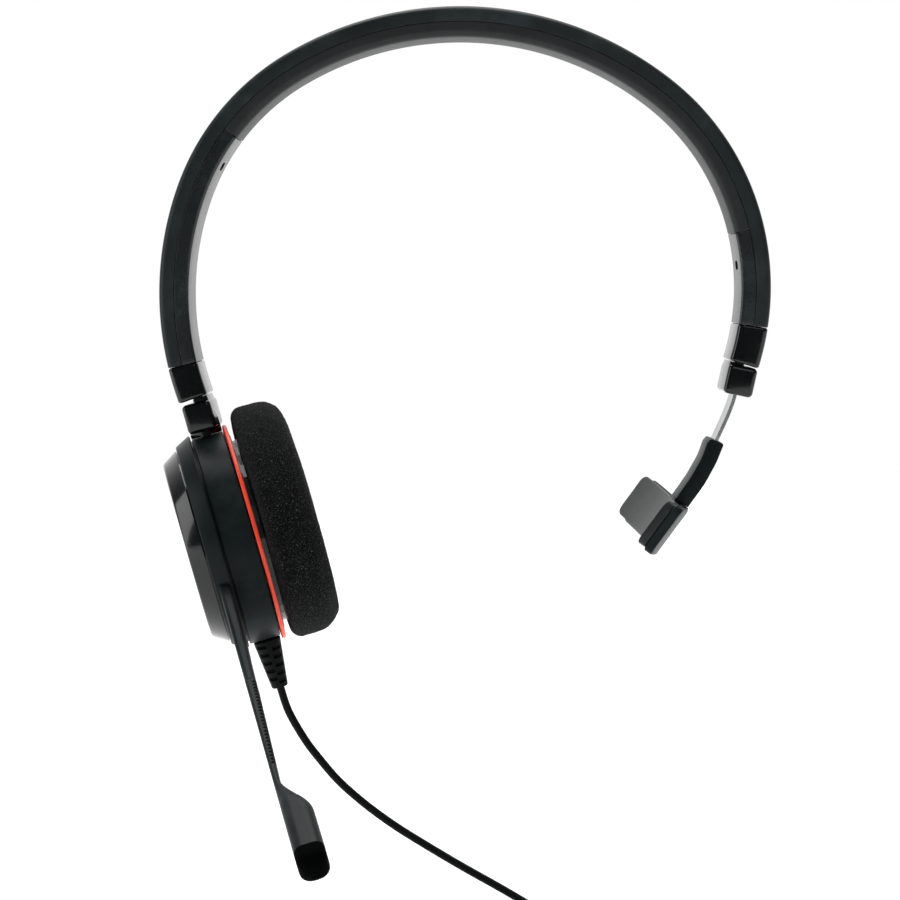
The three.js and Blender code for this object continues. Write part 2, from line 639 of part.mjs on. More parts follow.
// A tapered sleeve with staggered slots on both sides, gripped in the housing's wall by a groove
function strainRelief() {
  const { x, top, bottom, topR, bottomR, neckR, flangeR, flangeTop } = RELIEF;
  const { slots, slotPitch, slotTall, stagger } = RELIEF;
  const sleeve = turned([
    [0, flangeTop], [flangeR, flangeTop], [flangeR, flangeTop - 1], [neckR, flangeTop - 1],
    [neckR, top + 0.05], [topR, top], [bottomR, bottom], [0, bottom],
  ], SMALL_SEGMENTS).rotateY(-Math.PI / 2);
  const flangeSides = [-1, 1].map((side) => box(4, 8, 3, [side * 3.9, 0, flangeTop - 0.5]));
  const cuts = [];
  for (let i = 0; i < slots; i += 1) {
    const z = top - 1.3 - slotPitch * i;
    const away = 2.4 - 0.12 * i;
    cuts.push(box(2.4, 8, slotTall, [-away, 0, z]));
    cuts.push(box(2.4, 8, slotTall, [away, 0, z - stagger]));
  }
  return cut(sleeve, ...flangeSides, ...cuts).translate(x, 0, 0);
}

function tube(points) {
  const curve = new THREE.CatmullRomCurve3(points.map((p) => new THREE.Vector3(...p)), false, 'centripetal');
  const section = new THREE.Shape(Array.from({ length: CORD_SIDES }, (_, i) => {
    const a = (2 * Math.PI * (i + 0.5)) / CORD_SIDES;
    return point((CORD_D / 2) * Math.cos(a), (CORD_D / 2) * Math.sin(a));
  }));
  const steps = Math.round(curve.getLength() / (2.4 * CORD_D));
  return new THREE.ExtrudeGeometry(section, { steps, extrudePath: curve, bevelEnabled: false });
}

// The cord hangs from the cup, comes down to the surface and runs into the coil
const cordRoute = [
  [-51.15, 0, -158.8], [-49.5, 0, -165.2], [-46.2, 0, -172.2], [-43.3, 0, -176.9], [-38.2, 0, -183.9],
  [-32.1, 0, -190.2], [-26.0, 0, -195.5], [-19.8, 0, -200.2], [-9.0, 0, -207.8], [1.8, -0.3, -214.9],
  [12.0, -1.6, -221.6], [21.5, -4.2, -227.2], [29.5, -8.5, -230.3], [35.3, -14.0, -230.8],
  [39.0, -20.6, -230.9],
];
// From the coil down to the plug that lies beside it
const tailRoute = [
  [38.9, -38.6, -225.6], [36.6, -46.0, -226.4], [31.8, -53.2, -227.1], [25.0, -57.4, PLUG.z],
  [17.9, PLUG.y, PLUG.z],
];

function coil() {
  const { innerR, outerR, tall, x, y } = COIL;
  const ring = turned([[innerR, 0], [outerR, 0], [outerR, tall], [innerR, tall]], 32);
  return ring.rotateY(-Math.PI / 2).translate(x, y, COIL_BASE);
}

// A small loop of tape round the coil's bundle
function tie() {
  const { innerR, outerR, tall, x, y } = COIL;
  const middle = (innerR + outerR) / 2;
  const wide = outerR - innerR + 2 * TIE.clearance;
  const high = tall + 2 * TIE.upClearance;
  const outside = box(wide + 2 * TIE.thick, TIE.wide, high + 2 * TIE.thick);
  const loop = cut(outside, box(wide, TIE.wide + PAST, high));
  return loop.translate(middle, 0, tall / 2).rotateZ(rad(TIE.heading)).translate(x, y, COIL_BASE);
}

// A rounded block along x, between two places on the plug's axis
function plugPiece(from, to, wide, tall, corner, edge) {
  const outline = roundedBox(wide, tall, corner, 0, 0, 0);
  const body = prism(outline, from - to, edge, 1).rotateZ(Math.PI / 2);
  return body.translate((from + to) / 2, PLUG.y, PLUG.z);
}

function plugShell() {
  const { gripTo, tipX } = PLUG;
  const { wide, tall, wall, mouthBack } = PLUG_SHELL;
  const sleeve = plugPiece(gripTo - GAP, tipX, wide, tall, 0.5, 0);
  const mouth = plugPiece(gripTo - GAP - mouthBack, tipX - 1, wide - 2 * wall, tall - 2 * wall, 0.3, 0);
  return cut(sleeve, mouth);
}

function plugGrip() {
  const { wide, tall, corner, edge } = PLUG_GRIP;
  return plugPiece(PLUG.gripFrom, PLUG.gripTo, wide, tall, corner, edge);
}

function plugRelief() {
  const sleeve = turned([[0, 0], [3, 0], [1.9, 7.7], [0, 7.7]], SMALL_SEGMENTS);
  return sleeve.translate(PLUG.gripFrom + GAP - 0.1, PLUG.y, PLUG.z);
}

add(cup, 'strain_relief', strainRelief(), 'rubber');
add(headset, 'cord', tube(cordRoute), 'rubber');
add(headset, 'cord_coil', coil(), 'rubber');
add(headset, 'cord_tail', tube(tailRoute), 'rubber');
add(headset, 'cord_tie', tie(), 'cloth');
add(headset, 'plug_relief', plugRelief(), 'rubber');
add(headset, 'plug_grip', plugGrip(), 'satin');
add(headset, 'plug_shell', plugShell(), 'steel');
add(headset, 'plug_tongue', box(9.5, 10.4, 1.6, [-19, PLUG.y, PLUG.z - 0.8]), 'white');

export default headset;
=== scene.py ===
import json
import math

import bmesh
import bpy
from mathutils import Matrix, Vector, noise


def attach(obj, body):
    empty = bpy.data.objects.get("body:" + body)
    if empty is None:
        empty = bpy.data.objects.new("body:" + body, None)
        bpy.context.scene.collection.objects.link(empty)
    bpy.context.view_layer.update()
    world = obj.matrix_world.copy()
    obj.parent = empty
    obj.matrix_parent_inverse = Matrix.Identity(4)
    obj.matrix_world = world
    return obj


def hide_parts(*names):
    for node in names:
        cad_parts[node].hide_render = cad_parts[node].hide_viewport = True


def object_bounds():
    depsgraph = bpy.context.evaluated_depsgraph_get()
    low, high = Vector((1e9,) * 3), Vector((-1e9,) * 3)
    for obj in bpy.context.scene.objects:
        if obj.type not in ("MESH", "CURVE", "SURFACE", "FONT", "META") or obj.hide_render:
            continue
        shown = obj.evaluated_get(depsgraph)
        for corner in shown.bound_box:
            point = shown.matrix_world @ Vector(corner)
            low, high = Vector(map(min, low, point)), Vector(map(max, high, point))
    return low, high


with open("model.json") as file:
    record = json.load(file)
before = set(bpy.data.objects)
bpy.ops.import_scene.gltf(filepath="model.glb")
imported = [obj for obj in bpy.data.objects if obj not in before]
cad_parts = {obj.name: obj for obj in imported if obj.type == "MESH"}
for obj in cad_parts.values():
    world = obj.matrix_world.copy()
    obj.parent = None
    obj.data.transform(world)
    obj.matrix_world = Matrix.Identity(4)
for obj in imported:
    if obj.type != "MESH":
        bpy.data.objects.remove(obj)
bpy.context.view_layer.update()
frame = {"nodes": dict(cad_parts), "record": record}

# Shapes are drawn in millimetres, each in its own frame, and the frame's matrix puts them in metres.
MM = 0.001
RECORD = frame["record"]
JOINTS = {j["name"]: j for j in RECORD["behaviour"]["joints"]}
BODY_OF = {node: body for body, nodes in RECORD["behaviour"]["bodies"].items() for node in nodes}
SLOT_OF = {part["node"]: part["material_slot"] for part in RECORD["subparts"]}

# ---- Dimensions, in millimetres and degrees ----

# Headband: a heading is the angle from the crown, negative on the cup's side, and a depth is
# measured inwards from the band's outer face.
BAND_THICK = 7.5
BAND_HALF = 7.75
CROWN_R = 84.4
LOWER_FROM = 65.9
HALVES = {
    -1: {"crown_to": 26.6, "shoulder_r": 61.7, "lower_r": 78.4},
    1: {"crown_to": 42.3, "shoulder_r": 63.2, "lower_r": 66.0},
}
SHELL = {"from": -99.3, "to": 101.9, "edge": 1.6, "seam": 3.75}
INNER_TOP = 3.87
CHANNEL = {"top": 2.0, "bottom": 6.4, "half": 5.5}
COVERS = {
    "inner_cover_left": {"from": -99.3, "to": -49.0, "slot": -57.2},
    "inner_cover_right": {"from": 80.15, "to": 101.9, "slot": 87.8},
}
COVER = {"bottom": 7.4, "edge": 0.8}
PAD = {"from": -48.93, "to": 80.07, "bottom": 7.5, "edge": 2.6, "channel_from": 65}
CAPS = {"end_cap_left": (-106.05, -99.37), "end_cap_right": (101.97, 110.9)}
CAP_EDGE = 1.3
MOUTH = {"top": 3.0, "bottom": 6.4, "half": 5.5}
TONGUE = {"top": 3.4, "bottom": 6.0, "half": 5.1}
NECK = {"top": 3.4, "bottom": 7.1, "half": 6.1}
STRIP = {"depth": 4.7, "thick": 0.9, "half": 4.25, "gap": 0.3, "bevel": 0.12, "edge": 0.8}
BLOCK = {"wide": 7.3, "tall": 6.7, "deep": 15.0, "edge": 1.15}
CUP_BLOCK = {"x": -65.6, "z": -88.3, "tilt": 11.5, "tongue": (-107.8, -101.2), "neck": (-107.8, -106.2),
             "up": 0.0, "down": 0.75}
BAR_BLOCK = {"x": 68.7, "z": -88.9, "tilt": -15.8, "tongue": (105.0, 112.2), "neck": (111.1, 112.2),
             "up": 0.7, "down": 0.0}
CUP_STRIP = (-108.9, -71.0)
BAR_STRIP = (73.0, 106.0)
BAR_STRIP_BELOW = [(67.4, -92.8), (62.0, -103.9), (60.3, -107.4)]

# Ear cup and boom
CUP_R = 27.0
FLAT_SEAT = 26.5
STEM = {"r": 1.0, "gap": 0.3, "from": 19.0, "to": 31.4, "collar_r": 4.0, "collar": (26.75, 30.4)}
BOOM_DROP = 31.0
BOOM_OUTER = 7.6
NECK_SPAN = (58.55, 91.95)
FOAM_LIFT = 1.3
RIDGES = {"from": 61.0, "pitch": 1.1, "count": 25, "deep": 0.75, "wide": 1.1, "slant": 0.55}
MIC_FROM = 92.0
MIC_TO = 114.9
MIC_TIP = 119.8

# Head rest
PLATE = {"x": 50.6, "z": -117.2, "lean": 39.8, "half": 31.0, "tall": 12.4, "bow": 5.0, "corner": 2.3}

# Cord, coil and plug
CORD_D = 2.0
RELIEF = {"x": -0.4, "top": -27.1, "bottom": -39.9, "top_r": 3.5, "bottom_r": 2.05}
RELIEF_SLOTS = {"count": 5, "from": 1.6, "pitch": 2.15, "stagger": 0.95, "tall": 0.95, "deep": 2.4}
TIE = {"inner": 6.6, "outer": 17.4, "tall": 8.6, "half": 2, "thick": 0.5, "bend": 1.6, "heading": 150}
COIL = {"x": 22.0, "y": -30.0, "base": -232.0, "radii": (16, 14, 12, 10, 8), "rows": 4, "first": 1.1}
PLUG = {"y": -58.5, "z": -227.4, "grip_from": 9.5, "grip_to": -12.5, "gap": 0.3, "tip": -24.5}
GROOVES = {"count": 5, "from": -4, "pitch": 2, "y": 8.4, "size": (0.9, 3, 5.4)}
RELIEF_RINGS = {"count": 4, "from": 1.2, "pitch": 1.6, "r": 2.9, "taper": 0.25}


# ---- Frames ----

def frame_matrix(origin, x, z):
    """A right-handed frame at origin, in metres, that takes shapes in millimetres."""
    y = z.cross(x)
    turn = Matrix((x, y, z)).transposed().to_4x4()
    return Matrix.Translation(origin) @ turn @ Matrix.Scale(MM, 4)


def leaning(x, z, degrees):
    """A frame at (x, z) in millimetres, turned about Y."""
    return ROW @ Matrix.Translation((x, 0, z)) @ Matrix.Rotation(math.radians(degrees), 4, "Y")


ROW = Matrix.Scale(MM, 4)
cup_centre = Vector(JOINTS["boom_turn"]["pos_m"])
cup_out = Vector(JOINTS["boom_turn"]["axis"]).normalized()
stem_up = Vector(JOINTS["cup_swivel"]["axis"]).normalized()
CUP = frame_matrix(cup_centre, cup_out, stem_up)
LEAN = frame_matrix(cup_centre, Vector((0, 1, 0)).cross(stem_up), stem_up)
BOOM = CUP @ Matrix.Rotation(math.radians(-BOOM_DROP), 4, "X")
REST = leaning(PLATE["x"], PLATE["z"], PLATE["lean"])


# ---- Camera ----

CAMERA_AT = Vector((1.4, -522.1, -56.6)) * MM
CAMERA_TO = Vector((-4.1, 0.0, -101.5)) * MM
CAMERA_ROLL = -3.85
CAMERA_LENS = 83.4


def make_camera():
    data = bpy.data.cameras.new("camera")
    data.lens = CAMERA_LENS
    data.sensor_width = 36
    data.clip_start = 0.01
    camera = bpy.data.objects.new("camera", data)
    bpy.context.scene.collection.objects.link(camera)
    aim = (CAMERA_TO - CAMERA_AT).to_track_quat("-Z", "Y").to_matrix().to_4x4()
    camera.matrix_world = (
        Matrix.Translation(CAMERA_AT) @ aim @ Matrix.Rotation(math.radians(CAMERA_ROLL), 4, "Z"))
    bpy.context.scene.camera = camera


make_camera()

# ---- Materials ----


def node(tree, kind, inputs=None, **settings):
    """A node with its settings, and its inputs as values or as the sockets that feed them."""
    made = tree.nodes.new(kind)
    for key, value in settings.items():
        setattr(made, key, value)
    for key, value in (inputs or {}).items():
        if isinstance(value, bpy.types.NodeSocket):
            tree.links.new(value, made.inputs[key])
        else:
            made.inputs[key].default_value = value
    return made


def ramp(tree, source, *stops):
    """A colour ramp through (place, colour) stops."""
    made = node(tree, "ShaderNodeValToRGB", {"Fac": source})
    elements = made.color_ramp.elements
    while len(elements) < len(stops):
        elements.new(0.5)
    for element, (place, colour) in zip(elements, stops):
        element.position = place
        element.color = (*colour, 1)
    return made.outputs["Color"]


def level(tree, source, low, high, start=0.3, end=0.7):
    """A number that runs from low to high as the source runs from start to end."""
    return node(tree, "ShaderNodeMapRange", {
        "Value": source, "From Min": start, "From Max": end, "To Min": low, "To Max": high,
    }).outputs["Result"]


def shades(colour, spread):
    return [tuple(c * (1 + s * spread) for c in colour) for s in (-1, 1)]


def new_material(name):
    material = bpy.data.materials.new(name)
    material.use_nodes = True
    tree = material.node_tree
    place = node(tree, "ShaderNodeTexCoord").outputs["Object"]
    return material, tree, tree.nodes["Principled BSDF"], place


def noise_of(tree, place, size, detail=3.0, rough=0.55):
    """Noise whose features are about size millimetres across."""
    return node(tree, "ShaderNodeTexNoise", {
        "Vector": place, "Scale": 1 / (size * MM), "Detail": detail, "Roughness": rough}).outputs["Fac"]


def bump(tree, height, depth, under=None):
    inputs = {"Height": height, "Strength": 1.0, "Distance": depth * MM}
    if under is not None:
        inputs["Normal"] = under
    return node(tree, "ShaderNodeBump", inputs).outputs["Normal"]


def moulded(name, colour, rough, grain=0.22, depth=0.012, spread=0.22, scuff_and_highlight=0.5, specular=0.5):
    """Moulded plastic: spark-eroded grain, cloudy gloss, and sharp edges painted paler, partly as scuffing
    and partly as painted highlight.
    """
    material, tree, shader, place = new_material(name)
    cloud = noise_of(tree, place, 14, 5)
    fine = noise_of(tree, place, grain, 2)
    # Sharp edges, found by pointiness, are painted paler: partly scuffing, partly a painted highlight along
    # the edges.
    scuff_and_highlight_mask = node(tree, "ShaderNodeMath", {
        0: node(tree, "ShaderNodeNewGeometry").outputs["Pointiness"], 1: cloud}, operation="MULTIPLY")
    dark, light = shades(colour, spread)
    body = ramp(tree, cloud, (0.3, dark), (0.7, light))
    # The edge colour, 2.4 times the base, is partly scuffing and partly painted highlight.
    scuffed_and_highlit = node(tree, "ShaderNodeMix", {
        "Factor": level(tree, scuff_and_highlight_mask.outputs[0], 0, scuff_and_highlight, 0.27, 0.36),
        6: body, 7: (*[c * 2.4 + 0.004 for c in colour], 1)}, data_type="RGBA")
    tree.links.new(scuffed_and_highlit.outputs[2], shader.inputs["Base Color"])
    tree.links.new(level(tree, cloud, rough * 0.86, rough * 1.14), shader.inputs["Roughness"])
    tree.links.new(bump(tree, fine, depth), shader.inputs["Normal"])
    shader.inputs["Specular IOR Level"].default_value = specular
    return material


def glossy(name, colour, rough, specular=0.3, coat=0.25):
    """Polished plastic: a faint swell in the surface and fine hairline marks in the gloss."""
    material, tree, shader, place = new_material(name)
    cloud = noise_of(tree, place, 9, 4)
    marks = noise_of(tree, place, 0.5, 6, 0.7)
    dark, light = shades(colour, 0.25)
    tree.links.new(ramp(tree, cloud, (0.3, dark), (0.7, light)), shader.inputs["Base Color"])
    tree.links.new(level(tree, marks, rough * 0.7, rough * 1.5), shader.inputs["Roughness"])
    tree.links.new(bump(tree, cloud, 0.03, bump(tree, marks, 0.0015)), shader.inputs["Normal"])
    shader.inputs["Specular IOR Level"].default_value = specular
    shader.inputs["Coat Weight"].default_value = coat
    shader.inputs["Coat Roughness"].default_value = 0.06
    return material


def soft_touch(name, colour, rough, grain, depth, sheen, specular=0.3):
    """A soft pad's skin: fine pebbling over a slow unevenness, with a dusty sheen."""
    material, tree, shader, place = new_material(name)
    cloud = noise_of(tree, place, 6, 5)
    pebbles = node(tree, "ShaderNodeTexVoronoi", {
        "Vector": place, "Scale": 1 / (grain * MM), "Randomness": 0.9}, feature="SMOOTH_F1")
    cells = pebbles.outputs["Distance"]
    dark, light = shades(colour, 0.2)
    tree.links.new(ramp(tree, cloud, (0.3, dark), (0.7, light)), shader.inputs["Base Color"])
    tree.links.new(level(tree, cells, rough * 0.9, min(1, rough * 1.1)), shader.inputs["Roughness"])
    tree.links.new(bump(tree, cells, depth, bump(tree, cloud, 0.04)), shader.inputs["Normal"])
    shader.inputs["Specular IOR Level"].default_value = specular
    shader.inputs["Sheen Weight"].default_value = sheen
    shader.inputs["Sheen Roughness"].default_value = 0.5
    return material


# The foam's cells: noise scales, how strongly one shifts them, sizes in millimetres and colours, the darkest
# painted shade in the pores and the palest painted highlight on the web between them
FOAM = {"shift_scale": 900.0, "shift": 0.0006, "web_scale": 2100.0, "speck": 0.3, "deep": 0.3,
        "pore_shade": (0.0002, 0.0003, 0.0004), "shade": (0.0016, 0.0024, 0.0027), "strut_highlight": (0.2, 0.225, 0.23)}


def open_foam(name):
    """Open-cell foam at two sizes: the pores painted near-black as shade in the cells, the web between them
    painted paler as highlight.
    """
    material, tree, shader, place = new_material(name)
    shift = node(tree, "ShaderNodeTexNoise", {
        "Vector": place, "Scale": FOAM["shift_scale"], "Detail": 2.0}).outputs["Color"]
    bent = node(tree, "ShaderNodeMix", {
        "Factor": FOAM["shift"], 6: place, 7: shift}, data_type="RGBA").outputs[2]
    web = node(tree, "ShaderNodeTexVoronoi", {
        "Vector": bent, "Scale": FOAM["web_scale"]}, feature="DISTANCE_TO_EDGE").outputs["Distance"]
    specks = noise_of(tree, place, FOAM["speck"], 4, 0.8)
    both = node(tree, "ShaderNodeMath", {
        0: level(tree, web, 1, 0, 0.02, 0.32),
        1: level(tree, specks, 0, 1, 0.46, 0.7)}, operation="MULTIPLY").outputs[0]
    # Colour runs from painted shade in the pores to painted highlight on the web where the specks fall.
    painted_strut_light = ramp(tree, both, (0.0, FOAM["pore_shade"]), (0.3, FOAM["shade"]), (0.8, FOAM["strut_highlight"]))
    tree.links.new(painted_strut_light, shader.inputs["Base Color"])
    tree.links.new(level(tree, specks, 0.85, 1.0), shader.inputs["Roughness"])
    tree.links.new(bump(tree, both, FOAM["deep"]), shader.inputs["Normal"])
    shader.inputs["Specular IOR Level"].default_value = 0.12
    shader.inputs["Sheen Weight"].default_value = 0.03
    return material


def metal(name, colour, rough, stretch=(1, 12, 1), depth=0.004):
    """Steel with fine rolled lines and cloudy tarnish."""
    material, tree, shader, place = new_material(name)
    drawn = node(tree, "ShaderNodeMapping", {"Vector": place, "Scale": stretch}).outputs["Vector"]
    lines = noise_of(tree, drawn, 1.5, 5, 0.7)
    cloud = noise_of(tree, place, 5, 4)
    dark, light = shades(colour, 0.18)
    tree.links.new(ramp(tree, cloud, (0.3, dark), (0.7, light)), shader.inputs["Base Color"])
    tree.links.new(level(tree, lines, rough * 0.75, rough * 1.35), shader.inputs["Roughness"])
    tree.links.new(bump(tree, lines, depth), shader.inputs["Normal"])
    shader.inputs["Metallic"].default_value = 1.0
    return material


def woven(name, colour, pitch):
    """Plain weave: two crossing sets of threads."""
    material, tree, shader, place = new_material(name)
    waves = [node(tree, "ShaderNodeTexWave", {
        "Vector": place, "Scale": 1 / (pitch * MM * 6.28), "Distortion": 0.6, "Detail": 1.0},
        bands_direction=axis).outputs["Fac"] for axis in ("Y", "Z")]
    weave = node(tree, "ShaderNodeMath", {0: waves[0], 1: waves[1]}, operation="MAXIMUM").outputs[0]
    tree.links.new(ramp(tree, weave, (0.2, tuple(c * 0.35 for c in colour)), (0.9, colour)),
                   shader.inputs["Base Color"])
    tree.links.new(level(tree, weave, 1.0, 0.8), shader.inputs["Roughness"])
    tree.links.new(bump(tree, weave, 0.08), shader.inputs["Normal"])
    shader.inputs["Sheen Weight"].default_value = 0.3
    return material


MATERIALS = {
    "shell_black": moulded("shell_black", (0.0115, 0.0168, 0.0172), 0.44,
                           grain=0.2, depth=0.007, specular=0.22),
    "inner_black": moulded("inner_black", (0.0095, 0.013, 0.0135), 0.26, depth=0.003, specular=0.45),
    "crown_pad": soft_touch("crown_pad", (0.011, 0.0135, 0.014), 0.5, 0.3, 0.012, 0.04),
    "pad_grey": soft_touch("pad_grey", (0.018, 0.0205, 0.0212), 0.42, 0.3, 0.008, 0.03, 0.2),
    "gloss_black": glossy("gloss_black", (0.0024, 0.0034, 0.0038), 0.12),
    "satin_black": moulded("satin_black", (0.0075, 0.0112, 0.0118), 0.36,
                           grain=0.16, depth=0.003, specular=0.08),
    "boom_grey": moulded("boom_grey", (0.0095, 0.0117, 0.0123), 0.42,
                         grain=0.18, depth=0.005, specular=0.1),
    "foam_black": open_foam("foam_black"),
    "trim_orange": moulded("trim_orange", (0.86, 0.052, 0.018), 0.36, depth=0.003, spread=0.08, scuff_and_highlight=0.0),
    "steel": metal("steel", (0.52, 0.53, 0.54), 0.26),
    "dark_steel": metal("dark_steel", (0.36, 0.37, 0.375), 0.2, depth=0.0005),
    "rubber_black": soft_touch("rubber_black", (0.0022, 0.003, 0.0033), 0.55, 0.22, 0.006, 0.0, 0.1),
    "mesh_black": soft_touch("mesh_black", (0.0005, 0.0007, 0.0008), 0.8, 0.3, 0.02, 0.0, 0.02),
    "cloth_black": woven("cloth_black", (0.035, 0.035, 0.037), 0.35),
    "board_green": moulded("board_green", (0.02, 0.12, 0.05), 0.35),
    "copper": metal("copper", (0.62, 0.26, 0.12), 0.3),
    "ferrite": moulded("ferrite", (0.045, 0.046, 0.048), 0.6, grain=0.1, depth=0.01),
    "cone_paper": soft_touch("cone_paper", (0.33, 0.29, 0.2), 0.8, 0.4, 0.03, 0.1),
    "plug_white": moulded("plug_white", (0.72, 0.73, 0.71), 0.4, depth=0.003, scuff_and_highlight=0.0),
}

for name, cad in frame["nodes"].items():
    cad.data.materials.clear()
    cad.data.materials.append(MATERIALS[SLOT_OF[name]])


# ---- Making pieces ----

def stand_for(obj, node_name, *others):
    """The piece rides as its CAD node does, and replaces it."""
    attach(obj, BODY_OF[node_name])
    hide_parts(node_name, *others)
    return obj


def mesh_object(name, verts, faces, matrix=ROW, sharp=38, slot=None):
    """A smooth-shaded mesh whose edges sharper than an angle stay crisp."""
    bm = bmesh.new()
    made = [bm.verts.new(matrix @ Vector(v)) for v in verts]
    for face in faces:
        bm.faces.new([made[i] for i in face])
    bmesh.ops.remove_doubles(bm, verts=bm.verts, dist=1e-7)
    bmesh.ops.recalc_face_normals(bm, faces=bm.faces)
    data = bpy.data.meshes.new(name)
    bm.to_mesh(data)
    bm.free()
    obj = bpy.data.objects.new(name, data)
    bpy.context.scene.collection.objects.link(obj)
    if slot:
        data.materials.append(MATERIALS[slot])
    crisp(obj, sharp)
    return obj


def crisp(obj, sharp=38):
    bm = bmesh.new()
    bm.from_mesh(obj.data)
    limit = math.radians(sharp)
    for face in bm.faces:
        face.smooth = True
    for edge in bm.edges:
        edge.smooth = edge.calc_face_angle(0) < limit
    bm.to_mesh(obj.data)
    bm.free()
    return obj


def apply_modifiers(obj):
    graph = bpy.context.evaluated_depsgraph_get()
    data = bpy.data.meshes.new_from_object(obj.evaluated_get(graph))
    obj.modifiers.clear()
    obj.data = data
    return obj


def boolean(obj, other, operation):
    change = obj.modifiers.new(operation.lower(), "BOOLEAN")
    change.operation = operation
    change.solver = "EXACT"
    change.object = other
    apply_modifiers(obj)
    bpy.data.objects.remove(other)
    return obj


def ease(obj, width, segments=3, angle=35):
    """Rounds the edges that are sharper than an angle by a width in millimetres."""
    rounding = obj.modifiers.new("ease", "BEVEL")
    rounding.width = width * MM
    rounding.segments = segments
    rounding.limit_method = "ANGLE"
    rounding.angle_limit = math.radians(angle)
    rounding.harden_normals = False
    apply_modifiers(obj)
    return crisp(obj)


def fillet(corners, steps=6):
    """A closed outline with each (x, y, radius) corner turned into an arc."""
    out = []
    count = len(corners)
    for i, (x, y, radius) in enumerate(corners):
        here = Vector((x, y))
        before = Vector(corners[i - 1][:2]) - here
        after = Vector(corners[(i + 1) % count][:2]) - here
        angle = before.angle(after)
        if radius <= 0 or angle > math.pi - 0.01:
            out.append(here)
            continue
        reach = min(radius / math.tan(angle / 2), 0.49 * before.length, 0.49 * after.length)
        radius = reach * math.tan(angle / 2)
        inwards = (before.normalized() + after.normalized()).normalized()
        middle = here + inwards * (radius / math.sin(angle / 2))
        start = here + before.normalized() * reach - middle
        end = here + after.normalized() * reach - middle
        sweep = start.angle_signed(end)
        for k in range(steps + 1):
            turn = -sweep * k / steps
            c, s = math.cos(turn), math.sin(turn)
            out.append(middle + Vector((start.x * c - start.y * s, start.x * s + start.y * c)))
    return out


def loft(rings, closed=False):
    """Vertices and faces through rings of equally many points, closed by their first and last ring."""
    verts = [p for ring in rings for p in ring]
    size = len(rings[0])
    faces = []
    for r in range(len(rings) if closed else len(rings) - 1):
        a, b = r * size, ((r + 1) % len(rings)) * size
        for i in range(size):
            j = (i + 1) % size
            faces.append((a + i, a + j, b + j, b + i))
    if not closed:
        faces.append(tuple(range(size))[::-1])
        faces.append(tuple(range(len(verts) - size, len(verts))))
    return verts, faces


def circle(segments, radius=1):
    angles = [2 * math.pi * k / segments for k in range(segments)]
    return [(radius * math.cos(a), radius * math.sin(a)) for a in angles]


def turned(name, corners, matrix=CUP, segments=144, slot=None, steps=6):
    """A body of revolution about x from a closed outline of (radius, x, rounding)."""
    outline = fillet(corners, steps)
    verts, faces = [], []
    spin = circle(segments)
    rows = []
    for r, x in outline:
        start = len(verts)
        if r < 1e-6:
            verts.append((x, 0, 0))
            rows.append([start] * segments)
        else:
            verts.extend((x, r * c, r * s) for c, s in spin)
            rows.append(list(range(start, start + segments)))
    for a, b in zip(rows, rows[1:] + rows[:1]):
        for k in range(segments):
            n = (k + 1) % segments
            face = list(dict.fromkeys((a[k], a[n], b[n], b[k])))
            if len(face) > 2:
                faces.append(face)
    return mesh_object(name, verts, faces, matrix, slot=slot)


def extruded(name, corners, half, matrix=ROW, slot=None, steps=5):
    """An outline of (x, z, rounding) with a thickness along Y on both sides of it."""
    outline = fillet(corners, steps)
    rings = [[(x, y, z) for x, z in outline] for y in (-half, half)]
    return mesh_object(name, *loft(rings), matrix, slot=slot)


def rod(name, radius, low, high, matrix, segments=48, at=(0, 0)):
    """A round bar along its frame's Z, from low to high."""
    rings = [[(at[0] + x, at[1] + y, z) for x, y in circle(segments, radius)] for z in (low, high)]
    return mesh_object(name, *loft(rings), matrix)


def block(name, size, at, matrix=ROW, slot=None):
    """A box of a size, about its middle."""
    x, y, z = (s / 2 for s in size)
    ring = [(-x, -y), (x, -y), (x, y), (-x, y)]
    rings = [[(at[0] + a, at[1] + b, at[2] + c) for a, b in ring] for c in (-z, z)]
    return mesh_object(name, *loft(rings), matrix, slot=slot)


# ---- Cord, coil and tail: one curve from the strain relief to the plug ----

# The free stretch, as the CAD has it
CORD_ROUTE = [
    (-51.15, 0, -158.8), (-49.5, 0, -165.2), (-46.2, 0, -172.2), (-43.3, 0, -176.9), (-38.2, 0, -183.9),
    (-32.1, 0, -190.2), (-26.0, 0, -195.5), (-19.8, 0, -200.2), (-9.0, 0, -207.8), (1.8, -0.3, -214.9),
    (12.0, -1.6, -221.6), (21.5, -4.2, -227.2), (29.5, -8.5, -230.3), (35.3, -14.0, -230.8),
    (39.0, -20.6, -230.9),
]
TAIL_ROUTE = [
    (38.9, -38.6, -225.6), (36.6, -46.0, -226.4), (31.8, -53.2, -227.1), (25.0, -57.4, -227.4),
    (17.9, -58.5, -227.4),
]
TURN_STEPS = 40
SHIFT_FROM = 0.86


def coil_points():
    """Turns beside and on each other. Each runs flat, and shifts to the next column or row at its end."""
    lanes = []
    for row in range(COIL["rows"]):
        radii = COIL["radii"] if row % 2 == 0 else COIL["radii"][::-1]
        lanes += [(r, COIL["base"] + COIL["first"] + CORD_D * row) for r in radii]
    points = []
    for i, (r, z) in enumerate(lanes):
        next_r, next_z = lanes[min(i + 1, len(lanes) - 1)]
        for k in range(TURN_STEPS):
            along = k / TURN_STEPS
            shift = max(0.0, (along - SHIFT_FROM) / (1 - SHIFT_FROM))
            shift = shift * shift * (3 - 2 * shift)
            radius = r + (next_r - r) * shift
            height = z + (next_z - z) * shift
            angle = -2 * math.pi * along
            points.append(Vector((
                COIL["x"] + radius * math.cos(angle), COIL["y"] + radius * math.sin(angle), height)))
    last_r, last_z = lanes[-1]
    points.append(Vector((COIL["x"] + last_r, COIL["y"], last_z)))
    return points


